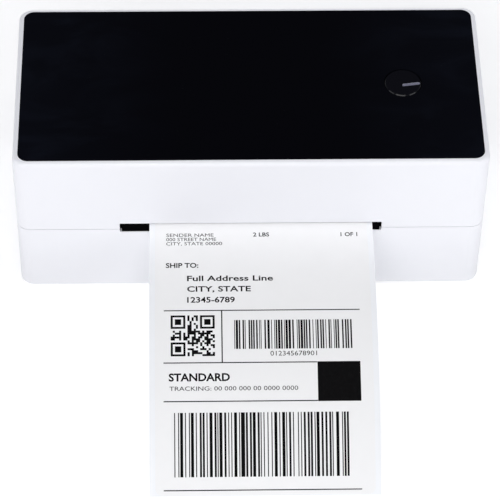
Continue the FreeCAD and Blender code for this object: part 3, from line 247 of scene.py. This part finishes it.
# painted shade towards the table: where it starts and where it is full, how grey, and how even
paintedShadeMake = {"starts": 47 * mm, "full": 1 * mm, "shade": 0.87, "even": 0.85}      # heights over the table


def moulded(name, colour, cloud, rough, spread, grain, depth, shine=0.5):
    # spark-eroded skin: fine noise for the grain, broad noise for the flow of the plastic, and a few long
    # scuffs that only change the gloss
    made = Finish(name, Specular_IOR_Level=shine)
    fine = made.noise(1 / (grain * mm), 3, 0.6)
    broad = made.noise(14, 3, 0.55, distortion=0.4)
    scuffs = made.eased(made.noise(1, 4, 0.7, made.stretched((30, 420, 160), (0.3, 0.5, 0.7))), 0.66, 0.78)
    flow = made.eased(broad, 0.3, 0.7)
    gloss = (broad - 0.5) * (spread * 1.6) + (fine - 0.5) * spread + scuffs * (spread * 0.7)
    made.put("Base Color", made.blend(flow, shade(colour, 1 - cloud), shade(colour, 1 + cloud)))
    made.put("Roughness", rough + gloss)
    return made.bump(fine, depth * mm)


def paintedShadeBelow(made, make, colour, cloud):
    # the skin of the housing, with painted shade: a little greyer towards the table, unevenly
    shadeUnevenness = made.eased(made.noise(60, 4, 0.65), 0.42, 0.74)
    low = made.eased(made.part("Z"), make["starts"], make["full"])
    # painted shade: the housing greyer towards the table, broken up by noise
    grey = low * (make["even"] + shadeUnevenness * (1 - make["even"]))
    flow = made.eased(made.noise(9), 0.3, 0.7)
    clean = made.blend(flow, shade(colour, 1 - cloud), shade(colour, 1 + cloud / 2))
    made.put("Base Color", made.blend(grey, clean, shade(colour, make["shade"])))


finishes = {name: moulded(name, **make) for name, make in mouldedMake.items()}
shellMake = mouldedMake["white_shell"]
paintedShadeBelow(finishes["white_shell"], paintedShadeMake, shellMake["colour"], shellMake["cloud"])
print("moulded finishes:", len(finishes))

panelMake = {
    "colour": (0.0008, 0.0008, 0.0018),
    # painted reflection: a bluish tint in the colour, from this far from the middle to this far
    "reflectionTint": (0.0034, 0.0042, 0.0078),
    "reflectionFrom": 30 * mm,     # from the middle
    "reflectionTo": 108 * mm,
    "dust": (0.05, 0.05, 0.055),
    "rough": 0.075,
    "smear": 0.022,
    "scratch": 0.02,
    "depth": 0.00012 * mm,
}
pipeMake = {
    "colours": ((0.115, 0.115, 0.165), (0.175, 0.175, 0.24)),
    "glows": ((0.62, 0.68, 0.80), (0.80, 0.84, 0.95)),
    "strength": 0.03,
    "depth": 0.002 * mm,
}
paperMake = {
    # colour and how far it varies, roughness, depth of the fibres in mm, how close they lie
    "label_face": dict(colour=(0.885, 0.885, 0.885), cloud=0.012, rough=0.62, depth=0.003, fibre=1.0),
    "liner": dict(colour=(0.885, 0.90, 0.92), cloud=0.018, rough=0.40, depth=0.002, fibre=0.7),
}
inkMake = {
    "colours": ((0.0022, 0.0021, 0.0024), (0.0060, 0.0058, 0.0062)),
    "dots": 8 / mm,          # of the print head, to a metre
    "depth": 0.0008 * mm,
}


def polishedPanel(make):
    # black acrylic: a painted reflection, bluish, that grows towards the two ends and is broken up by
    # smears;
    # broad wiped smears and hair scratches in its gloss, and dust
    made = Finish("black_panel", Specular_IOR_Level=0.25)
    outward = made.part("X").math("ABSOLUTE")
    smear = made.noise(1, 3, 0.6, made.stretched((16, 30, 20), (0, 0, 0.35)), 1.2)
    smear = made.eased(smear, 0.40, 0.72)
    # painted reflection towards the two ends, broken up by the smears
    paintedReflection = made.eased(outward, make["reflectionFrom"], make["reflectionTo"]) * (0.35 + smear * 0.65)
    hair = made.cells(1, "DISTANCE_TO_EDGE", where=made.stretched((14, 210, 60), (0, 0, 0.9))) < 0.012
    dust = (made.cells(420) < 0.045) * made.eased(made.noise(40), 0.5, 0.7) * 0.5
    colour = made.blend(paintedReflection, make["colour"], make["reflectionTint"])
    made.put("Base Color", made.blend(dust, colour, make["dust"]))
    made.put("Roughness", make["rough"] + smear * make["smear"] + hair * make["scratch"])
    return made.bump(made.noise(900), make["depth"])


def lightPipe(make):
    # milky polycarbonate that glows a little, unevenly
    made = Finish("light", Emission_Strength=make["strength"], Specular_IOR_Level=0.3)
    cloudy = made.noise(900, 3, 0.6)
    made.put("Base Color", made.blend(cloudy, *make["colours"]))
    made.put("Emission Color", made.blend(cloudy, *make["glows"]))
    made.put("Roughness", 0.26 + cloudy * 0.12)
    return made.bump(cloudy, make["depth"])


def paper(name, colour, cloud, rough, depth, fibre):
    # fibres: noise drawn out one way, crossed with the same noise turned; formation: broad faint cloud
    made = Finish(name, Specular_IOR_Level=0.35)
    long, thin, deep = 900 * fibre, 5200 * fibre, 3000 * fibre
    along = made.noise(1, 4, 0.65, made.stretched((long, thin, deep), (0.2, 0.1, 0.4)))
    across = made.noise(1, 4, 0.65, made.stretched((thin, long, deep), (0.1, 0.2, 0.3)))
    fibres = (along + across) * 0.5
    formation = made.noise(120, 3, 0.6)
    made.put("Base Color", made.blend(made.eased(formation, 0.25, 0.75), shade(colour, 1 - cloud), colour))
    made.put("Roughness", rough + (formation - 0.5) * 0.10 + (fibres - 0.5) * 0.16)
    return made.bump(fibres, depth * mm)


def thermalInk(make):
    # the darkened coat of thermal paper: black with a trace of the dots of the print head
    made = Finish("label_ink", Specular_IOR_Level=0.04)
    dots = (made.part("X") * make["dots"]).math("FRACT")
    worn = made.eased(made.noise(700, 4, 0.6), 0.35, 0.8)
    made.put("Base Color", made.blend(worn * (0.6 + dots * 0.4), *make["colours"]))
    made.put("Roughness", 0.56 + worn * 0.12)
    return made.bump(dots, make["depth"])


finishes["black_panel"] = polishedPanel(panelMake)
finishes["light"] = lightPipe(pipeMake)
for name, make in paperMake.items():
    finishes[name] = paper(name, **make)
finishes["label_ink"] = thermalInk(inkMake)

metalMake = {
    # colour, roughness, its spread, the stretch of the marks along each axis, their depth in mm
    "screw_steel": dict(colour=(0.56, 0.56, 0.58), rough=0.32, spread=0.14,
                        marks=(1600, 1600, 5200), depth=0.004),
    "shaft_steel": dict(colour=(0.62, 0.62, 0.64), rough=0.20, spread=0.10,
                        marks=(7000, 300, 300), depth=0.002),
    "spring_steel": dict(colour=(0.40, 0.40, 0.42), rough=0.28, spread=0.12,
                         marks=(900, 900, 900), depth=0.003),
    "usb_metal": dict(colour=(0.64, 0.63, 0.60), rough=0.22, spread=0.10,
                      marks=(300, 4200, 300), depth=0.002),
    "can": dict(colour=(0.60, 0.61, 0.63), rough=0.30, spread=0.12,
                marks=(300, 300, 3600), depth=0.003),
    "head_alu": dict(colour=(0.62, 0.63, 0.65), rough=0.34, spread=0.12,
                     marks=(120, 4600, 4600), depth=0.005),
    "brass": dict(colour=(0.62, 0.42, 0.16), rough=0.26, spread=0.12,
                  marks=(5200, 500, 500), depth=0.003),
}
zincMake = {"dark": (0.40, 0.41, 0.43), "light": (0.60, 0.61, 0.64), "flowers": 190, "depth": 0.003 * mm}
caseMake = {"coat": (0.016, 0.016, 0.018), "worn": (0.13, 0.12, 0.11), "depth": 0.006 * mm}
rollerMake = {"dark": (0.022, 0.022, 0.024), "bloom": (0.042, 0.042, 0.046), "depth": 0.012 * mm}
boardMake = {
    "mask": (0.008, 0.085, 0.030),
    "overTrack": (0.016, 0.165, 0.060),
    "via": (0.55, 0.50, 0.40),
    "depth": 0.010 * mm,
}
ceramicMake = {"line": (0.52, 0.43, 0.30), "body": (0.74, 0.72, 0.66), "lines": 2600, "depth": 0.002 * mm}


def drawnMetal(name, colour, rough, spread, marks, depth):
    # tool marks: noise stretched along the way the metal was drawn or turned; stains: broad noise in the
    # gloss
    made = Finish(name, Metallic=1.0)
    lines = made.noise(1, 3, 0.6, made.stretched(marks))
    stain = made.noise(110, 4, 0.6)
    made.put("Base Color", made.blend(made.eased(stain, 0.3, 0.8), shade(colour, 1.05), shade(colour, 0.84)))
    made.put("Roughness", rough + (lines - 0.5) * spread + (stain - 0.5) * spread)
    return made.bump(lines, depth * mm)


def zincSheet(make):
    # zinc flowers: cells a few millimetres across, each with its own grey and gloss, their edges made
    # uneven by noise added to the place, under faint rolling lines
    made = Finish("chassis_steel", Metallic=1.0)
    stir = made.node("ShaderNodeTexNoise", None, {"Vector": made.where, "Scale": 160}, "Color")
    stir = made.node("ShaderNodeVectorMath", {"operation": "SCALE"}, {0: stir, "Scale": 0.006})
    where = made.node("ShaderNodeVectorMath", {"operation": "ADD"}, {0: made.where, 1: stir})
    flower = made.part("X", made.cells(make["flowers"], where=where, out="Color"))
    lines = made.noise(1, where=made.stretched((60, 3200, 3200)))
    made.put("Base Color", made.blend(flower, make["dark"], make["light"]))
    made.put("Roughness", 0.30 + flower * 0.16 + (lines - 0.5) * 0.08)
    return made.bump(lines + flower * 0.6, make["depth"])


def motorCase(make):
    # black electro-coat over a pressed can, thin and brown where it has worn
    made = Finish("motor_metal")
    peel = made.noise(1300, 3, 0.6)
    worn = made.eased(made.noise(90, 5, 0.65), 0.60, 0.74)
    made.put("Base Color", made.blend(worn * 0.6, make["coat"], make["worn"]))
    made.put("Metallic", worn * 0.7)
    made.put("Roughness", 0.36 + (peel - 0.5) * 0.14 + worn * 0.08)
    return made.bump(peel, make["depth"])


def groundRubber(make):
    # lines of the grinding wheel round the roller: noise that changes along the axle, and a dull bloom
    made = Finish("platen_rubber", Specular_IOR_Level=0.35)
    rings = made.noise(1, 3, 0.7, made.stretched((5200, 40, 40)))
    bloom = made.noise(45, 4, 0.6)
    made.put("Base Color", made.blend(made.eased(bloom, 0.3, 0.75), make["dark"], make["bloom"]))
    made.put("Roughness", 0.66 + (rings - 0.5) * 0.16 + (bloom - 0.5) * 0.12)
    return made.bump(rings, make["depth"])


def maskedBoard(make):
    # solder mask over copper: square contour lines round scattered points make the tracks, small dots the
    # vias, and the weave of the board shows through
    made = Finish("board_green")
    squares = made.cells(115, metric="CHEBYCHEV")
    track = made.eased((squares * 9).math("PINGPONG", 0.5), 0.20, 0.27)
    via = made.cells(330) < 0.11
    weave = made.noise(1, where=made.stretched((2600, 2600, 600)))
    mask = made.blend(track, make["mask"], make["overTrack"])
    made.put("Base Color", made.blend(via * 0.9, mask, make["via"]))
    made.put("Metallic", via * 0.8)
    made.put("Roughness", 0.30 + (weave - 0.5) * 0.10 + track * 0.05)
    return made.bump(track + via * 0.8 + weave * 0.2, make["depth"])


def glazedCeramic(make):
    # pale alumina with brown conductor lines across the strip
    made = Finish("head_ceramic")
    lines = (made.part("X") * make["lines"]).math("PINGPONG", 0.5)
    speck = made.noise(1500, 3, 0.6)
    made.put("Base Color", made.blend(made.eased(lines, 0.18, 0.30), make["line"], make["body"]))
    made.put("Roughness", 0.16 + speck * 0.12)
    return made.bump(lines + speck * 0.3, make["depth"])


for name, make in metalMake.items():
    finishes[name] = drawnMetal(name, **make)
finishes["chassis_steel"] = zincSheet(zincMake)
finishes["motor_metal"] = motorCase(caseMake)
finishes["platen_rubber"] = groundRubber(rollerMake)
finishes["board_green"] = maskedBoard(boardMake)
finishes["head_ceramic"] = glazedCeramic(ceramicMake)
print("finishes:", len(finishes))

# these two are darker than their slot, because they stand in the shade of the lid
ownFinish = {"front_guide": "slot_black", "tear_bar": "slot_black"}


def finishNodes(own):
    # the frame's own nodes take a finish by the name of their slot
    for name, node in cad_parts.items():
        slotName = own.get(name, node.data.materials[0].name.split(".")[0])
        if slotName not in finishes:
            raise ValueError(f"node {name} has slot {slotName}, which has no finish")
        for place in node.material_slots:
            place.material = finishes[slotName].material


finishNodes(ownFinish)
print("nodes finished:", len(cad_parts))


def closedSheet(top, bottom):
    # two matching grids of points, rows by columns: quads over the top, the same turned over underneath,
    # and a wall of quads round the edge
    rows, columns = top.shape[:2]
    count = rows * columns
    index = np.arange(count).reshape(rows, columns)
    over = np.stack([index[:-1, :-1], index[:-1, 1:], index[1:, 1:], index[1:, :-1]], -1).reshape(-1, 4)
    rim = np.concatenate([index[0], index[1:, -1], index[-1, -2::-1], index[-2:0:-1, 0]])
    following = np.roll(rim, -1)
    wall = np.stack([rim + count, following + count, following, rim], -1)
    points = np.concatenate([top.reshape(-1, 3), bottom.reshape(-1, 3)])
    return points, np.concatenate([over, over[:, ::-1] + count, wall])


def joined(parts):
    # several (points, faces) put one after the other, the faces counted on
    points, faces, start = [], [], 0
    for somePoints, someFaces in parts:
        points.append(somePoints)
        faces.append(someFaces + start)
        start += len(somePoints)
    return np.concatenate(points), np.concatenate(faces)


def readMesh(items, key, kind, width):
    # one property of a mesh's vertices, corners or faces, as rows of that width
    values = np.empty(len(items) * width, kind)
    items.foreach_get(key, values)
    return values.reshape(-1, width)


def addPiece(name, points, faces, finish, body, slotName):
    mesh = bpy.data.meshes.new(name)
    mesh.from_pydata(points.tolist(), [], faces.tolist())
    mesh.validate()
    mesh.polygons.foreach_set("use_smooth", np.full(len(mesh.polygons), True))
    mesh.materials.append(finishes[finish].material)
    piece = bpy.data.objects.new(name, mesh)
    scene.collection.objects.link(piece)
    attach(piece, body)
    return piece


def sharpen(piece, degrees=35, turnOut=False):
    # edges over that angle are drawn sharp; turnOut first makes every face look outward
    bm = bmesh.new()
    bm.from_mesh(piece.data)
    if turnOut:
        bmesh.ops.recalc_face_normals(bm, faces=bm.faces)
    for edge in bm.edges:
        if len(edge.link_faces) == 2 and edge.calc_face_angle(0) > math.radians(degrees):
            edge.smooth = False
    bm.to_mesh(piece.data)
    bm.free()


stripMake = {
    "middle": 4.8 * mm,          # across the machine
    "bend": -64.5 * mm,          # where the level run ends
    "level": 45.9 * mm,          # its underside
    "radius": 179.4 * mm,
    "turn": math.radians(40.7),
    "behind": -15 * mm,          # the inner end of the strip
    "linerWidth": 107 * mm,
    "linerThick": 0.112 * mm,
    "labelWidth": 101.6 * mm,
    "labelLength": 152.4 * mm,
    "labelLow": 0.122 * mm,
    "labelHigh": 0.232 * mm,
    "labelStart": 0.5 * mm,      # from the liner's free tip
    "labelCorner": 3.2 * mm,
    "nextStart": 156.9 * mm,
    "nextEnd": 176.4 * mm,
    "inkLow": 0.236 * mm,
    "inkHigh": 0.256 * mm,
    "columns": 9,
    "step": 1.5 * mm,
    "nextStep": 3 * mm,
}
hanging = stripMake["radius"] * stripMake["turn"]


def onStrip(across, along, height):
    # a point of the strip, across from its middle, along from its free tip and height over its underside:
    # an arc about a point one radius below the bend while along is less than the hanging length, then level
    make = stripMake
    past = hanging - along
    angle = np.maximum(past, 0) / make["radius"]
    y = make["bend"] - (make["radius"] + height) * np.sin(angle) + np.maximum(-past, 0)
    z = make["level"] - make["radius"] + (make["radius"] + height) * np.cos(angle)
    return np.stack(np.broadcast_arrays(make["middle"] + across, y, z), -1)


def stripPatch(left, right, near, far, low, high, step=2.0 * mm, columns=2, corner=0):
    # a thin slab on the strip between those bounds; corner rounds its ends, by drawing in the half width as
    # a circle does over the last stretch of its length
    rows = max(2, int(math.ceil((far - near) / step)) + 1)
    along = np.linspace(near, far, rows)
    drawn = 0
    if corner:
        ends = corner * (1 - np.cos(np.linspace(0, math.pi / 2, 9)))
        between = np.linspace(near + corner, far - corner, rows)
        along = np.unique(np.concatenate([near + ends, between, far - ends]))
        short = corner - np.minimum(np.minimum(along - near, far - along), corner)
        drawn = (corner - np.sqrt(np.maximum(corner ** 2 - short ** 2, 0)))[:, None]
    along = along[:, None]
    middle, half = (left + right) / 2, (right - left) / 2
    across = middle + (half - drawn) * np.linspace(-1, 1, columns)[None, :]
    return closedSheet(onStrip(across, along + 0 * across, high), onStrip(across, along + 0 * across, low))


def addStrip(make):
    half, wide, columns, corner = (make["linerWidth"] / 2, make["labelWidth"] / 2, make["columns"],
                                   make["labelCorner"])
    low, high, start = make["labelLow"], make["labelHigh"], make["labelStart"]
    length = hanging + make["behind"] - make["bend"]
    liner = stripPatch(-half, half, 0, length, 0, make["linerThick"], make["step"], columns)
    first = stripPatch(-wide, wide, start, start + make["labelLength"], low, high, make["step"],
                       columns, corner)
    second = stripPatch(-wide, wide, make["nextStart"], make["nextEnd"], low, high, make["nextStep"],
                        columns, corner)
    for name, shape, finish, node in (("liner_sheet", liner, "liner", "label_liner"),
                                      ("label_sheet", first, "label_face", "printed_label"),
                                      ("next_label_sheet", second, "label_face", "next_label")):
        piece = addPiece(name, *shape, finish, "label", finish)
        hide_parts(node)
        sharpen(piece)


addStrip(stripMake)
print("strip of labels laid")

# the print on the label is in mm, across from the strip's middle and along from its free tip
rules = {
    # left, right, near, far
    "over": (-46.6, 45.3, 88.45, 88.95),
    "under": (-46.8, 24.7, 62.10, 62.60),
    "service": (-46.8, 24.7, 43.65, 44.15),
    "foot": (-47.0, 44.5, 2.55, 3.05),
    "upright": (-19.75, -19.20, 62.60, 88.50),
    "square": (24.8, 44.8, 43.6, 62.6),
}
words = [
    # text, left, right, foot of the letters, height of the capitals, boldness
    ("SENDER NAME", -45.4, -22.8, 131.3, 2.1, 0.0),
    ("000 STREET NAME", -45.4, -21.6, 128.6, 2.1, 0.0),
    ("CITY, STATE 00000", -45.4, -18.8, 125.9, 2.1, 0.0),
    ("2 LBS", -3.9, 3.8, 131.2, 2.6, 0.018),
    ("1 OF 1", 38.0, 46.0, 131.0, 2.6, 0.018),
    ("SHIP TO:", -45.6, -30.2, 112.4, 2.9, 0.022),
    ("Full Address Line", -35.6, 5.0, 104.8, 3.1, 0.020),
    ("CITY, STATE", -35.6, -5.6, 98.9, 3.1, 0.020),
    ("12345-6789", -35.6, -13.2, 93.0, 3.1, 0.020),
    ("012345678901", 3.0, 24.7, 65.6, 2.4, 0.0),
    ("STANDARD", -44.4, -16.0, 53.6, 3.9, 0.030),
    ("TRACKING: 00 000 000 00 0000 0000", -44.1, 15.6, 49.0, 2.1, 0.0),
]
capitalHeight = 0.729            # of the built-in letters, at size 1
codes = {
    # left, right, near, far, number of symbols, seed
    "barcode_small": (-13.7, 41.3, 69.0, 83.6, 14, 7),
    "barcode_large": (-42.0, 38.8, 8.9, 38.6, 16, 21),
}
blockCode = {"left": -43.4, "far": 86.2, "size": 20.6, "modules": 21, "seed": 5}


def inkPatch(left, right, near, far):
    low, high = stripMake["inkLow"], stripMake["inkHigh"]
    return stripPatch(left * mm, right * mm, near * mm, far * mm, low, high)


def inkWords(text, left, right, foot, height, bold):
    # letters made a mesh in their own plane, then stretched to their place and laid on the strip
    curve = bpy.data.curves.new("words", "FONT")
    curve.body, curve.offset, curve.extrude, curve.resolution_u = text, bold, 0.5, 3
    holder = bpy.data.objects.new("words", curve)
    scene.collection.objects.link(holder)
    bpy.context.view_layer.update()
    mesh = bpy.data.meshes.new_from_object(holder.evaluated_get(bpy.context.evaluated_depsgraph_get()))
    bm = bmesh.new()
    bm.from_mesh(mesh)
    bmesh.ops.remove_doubles(bm, verts=bm.verts, dist=1e-5)
    bmesh.ops.triangulate(bm, faces=bm.faces)
    bm.to_mesh(mesh)
    bm.free()
    bpy.data.objects.remove(holder)
    points = readMesh(mesh.vertices, "co", float, 3)
    faces = readMesh(mesh.loops, "vertex_index", np.int32, 1).reshape(-1, 3)
    across = left + (points[:, 0] - points[:, 0].min()) / np.ptp(points[:, 0]) * (right - left)
    along = foot + points[:, 1] / (capitalHeight + bold) * height
    thick = stripMake["inkHigh"] - stripMake["inkLow"]
    return onStrip(across * mm, along * mm, stripMake["inkLow"] + (points[:, 2] + 0.5) * thick), faces


def inkBars(left, right, near, far, symbols, seed):
    # each symbol is three bars and three gaps that share eleven modules; the code ends on one more bar
    draw = np.random.default_rng(seed)
    widths = np.ones((symbols, 6), int)
    for _ in range(5):
        widths[np.arange(symbols), draw.integers(0, 6, symbols)] += 1
    edges = np.concatenate([[0], np.cumsum(np.concatenate([widths.ravel(), [2]]))])
    edges = left + edges / edges[-1] * (right - left)
    return joined([inkPatch(a, b, near, far) for a, b in zip(edges[0::2], edges[1::2])])


def inkBlock(left, far, size, modules, seed):
    # three ringed squares in the corners and scattered modules between them, run together row by row
    filled = np.random.default_rng(seed).random((modules, modules)) < 0.5
    ring = np.ones((7, 7), bool)
    ring[1:6, 1:6] = False
    ring[2:5, 2:5] = True
    clear = np.zeros((8, 8), bool)
    clear[:7, :7] = ring
    filled[:8, :8], filled[:8, -8:], filled[-8:, :8] = clear, clear[:, ::-1], clear[::-1]
    step, parts = size / modules, []
    for row in range(modules):
        line = np.diff(np.concatenate([[0], filled[row].astype(int), [0]]))
        top = far - row * step
        for a, b in zip(np.flatnonzero(line == 1), np.flatnonzero(line == -1)):
            parts.append(inkPatch(left + a * step, left + b * step, top - step, top))
    return joined(parts)


def addPrint():
    shapes = {
        "rules": joined([inkPatch(*rule) for rule in rules.values()]),
        "words": joined([inkWords(*line) for line in words]),
        **{name: inkBars(*make) for name, make in codes.items()},
        "block_code": inkBlock(**blockCode),
    }
    for name, shape in shapes.items():
        sharpen(addPiece("print_" + name, *shape, "label_ink", "label", "label_face"))


addPrint()
print("label printed")

lightMake = {
    "half": 4.3 * mm,
    "wide": 0.78 * mm,
    "turn": math.radians(8),
    "crown": 0.10 * mm,
    "deep": 1.0 * mm,
    "proud": 0.03 * mm,
    "blunt": 0.04 * mm,          # half width at its very ends
}


def addLightBar(make):
    # a bar with round ends: its half width is a circle's over each end, and its top a parabola across
    low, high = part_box("button_light")
    half, wide = make["half"], make["wide"]
    end = half - wide * (1 - np.sin(np.linspace(0, math.pi / 2, 9)))
    between = np.linspace(-half + wide, half - wide, 8)[1:-1]
    along = np.concatenate([-end[::-1], between, end])[:, None]
    over = np.maximum(np.abs(along) - (half - wide), 0)
    drawn = np.sqrt(np.maximum(wide ** 2 - over ** 2, make["blunt"] ** 2))
    share = np.linspace(1, -1, 9)[None, :]
    across = drawn * share
    rise = make["proud"] + make["crown"] * (1 - share ** 2) * drawn / wide
    x = (low.x + high.x) / 2 + along * math.cos(make["turn"]) - across * math.sin(make["turn"])
    y = (low.y + high.y) / 2 + along * math.sin(make["turn"]) + across * math.cos(make["turn"])
    top = np.stack([x, y, high.z + rise], -1)
    bottom = np.stack([x, y, high.z - make["deep"] + 0 * rise], -1)
    piece = addPiece("light_bar", *closedSheet(top, bottom), "light", "feed_button", "light")
    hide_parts("button_light")
    sharpen(piece)


markMake = {
    "stroke": 0.42 * mm,
    "long": 3.2 * mm,
    "ring": 1.5 * mm,
    "proud": 0.05 * mm,
    "sunk": 0.1 * mm,
    "reach": 4.0 * mm,           # from the rocker's middle
    "steps": 48,                 # round the ring
}


def rockerFacet(upper):
    # the largest flat of the rocker on its upper or lower half: a point of it, and its outward direction
    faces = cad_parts["switch_rocker"].data.polygons
    centre, normal = readMesh(faces, "center", float, 3), readMesh(faces, "normal", float, 3)
    area = readMesh(faces, "area", float, 1)[:, 0]
    low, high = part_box("switch_rocker")
    side = (centre[:, 2] > (low.z + high.z) / 2) == upper
    backward = normal[:, 1] > 0.85
    best = np.argmax(area * backward * side)
    return centre[best], normal[best]


def onFacet(point, normal, x, z, proud):
    # the facet's plane, read straight along the depth at x and z, and stood proud of it
    y = point[1] - ((x - point[0]) * normal[0] + (z - point[2]) * normal[2]) / normal[1]
    return np.stack(np.broadcast_arrays(x, y, z), -1) + normal * proud


def addSwitchMarks(make):
    # a stroke on one half of the rocker and a ring on the other; the ring is four loops of points, inner
    # and outer, proud and sunk, with quads from each loop to the next
    low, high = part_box("switch_rocker")
    middle, height = (low.x + high.x) / 2, (low.z + high.z) / 2
    facet = rockerFacet(True)
    x = middle + make["stroke"] / 2 * np.array([[1, -1]])
    z = height + make["reach"] + make["long"] / 2 * np.linspace(-1, 1, 5)[:, None]
    stroke = closedSheet(onFacet(*facet, x, z, make["proud"]), onFacet(*facet, x, z, -make["sunk"]))
    facet = rockerFacet(False)
    steps, wide = make["steps"], make["stroke"] / 2
    turn = np.linspace(0, 2 * math.pi, steps + 1)[:-1]
    radius = make["ring"] + np.array([[-wide], [wide], [wide], [-wide]])
    proud = np.array([make["proud"], make["proud"], -make["sunk"], -make["sunk"]])[:, None, None]
    x, z = middle + radius * np.cos(turn), height - make["reach"] + radius * np.sin(turn)
    loops = onFacet(*facet, x, z, proud)
    index = np.arange(4 * steps).reshape(4, steps)
    around, onward = np.roll(index, -1, 1), np.roll(index, -1, 0)
    faces = np.stack([index, around, np.roll(onward, -1, 1), onward], -1).reshape(-1, 4)
    shape = joined([stroke, (loops.reshape(-1, 3), faces)])
    sharpen(addPiece("switch_marks", *shape, "connector", "power_switch", "rocker"), turnOut=True)


addLightBar(lightMake)
addSwitchMarks(markMake)
print("light bar and switch marks made")

floorMake = {"half": 30.0, "colour": (0.86, 0.86, 0.865), "glow": 0.36}
worldMake = {
    # a pale studio wall low down and a dark ceiling, so that the polished panel stays black from above
    "stops": [(0.0, (0.86, 0.87, 0.90)), (0.16, (0.62, 0.64, 0.68)), (0.48, (0.06, 0.065, 0.08)),
              (1.0, (0.10, 0.10, 0.12))],
    "strength": 0.66,
}


def addFloor(make):
    half = make["half"]
    corners = [(-half, -half, 0), (half, -half, 0), (half, half, 0), (-half, half, 0)]
    mesh = bpy.data.meshes.new("floor")
    mesh.from_pydata(corners, [], [(0, 1, 2, 3)])
    made = Finish("floor", Specular_IOR_Level=0.0, Emission_Strength=make["glow"], Emission_Color=(1, 1, 1))
    made.put("Base Color", made.blend(made.noise(3), shade(make["colour"], 0.985), make["colour"]))
    made.put("Roughness", 0.9)
    mesh.materials.append(made.material)
    floor = bpy.data.objects.new("floor", mesh)
    scene.collection.objects.link(floor)


def setWorld(make):
    # the stops of the ramp are heights of the direction looked in
    world = bpy.data.worlds.new("studio")
    world.use_nodes = True
    scene.world = world
    tree = world.node_tree
    where = addNode(tree, "ShaderNodeTexCoord", out="Generated")
    height = addNode(tree, "ShaderNodeSeparateXYZ", None, {0: where}, "Z")
    sky = addNode(tree, "ShaderNodeValToRGB", {"stops": make["stops"]}, {0: height})
    background = tree.nodes["Background"]
    tree.links.new(sky.socket, background.inputs["Color"])
    background.inputs["Strength"].default_value = make["strength"]


addFloor(floorMake)
setWorld(worldMake)
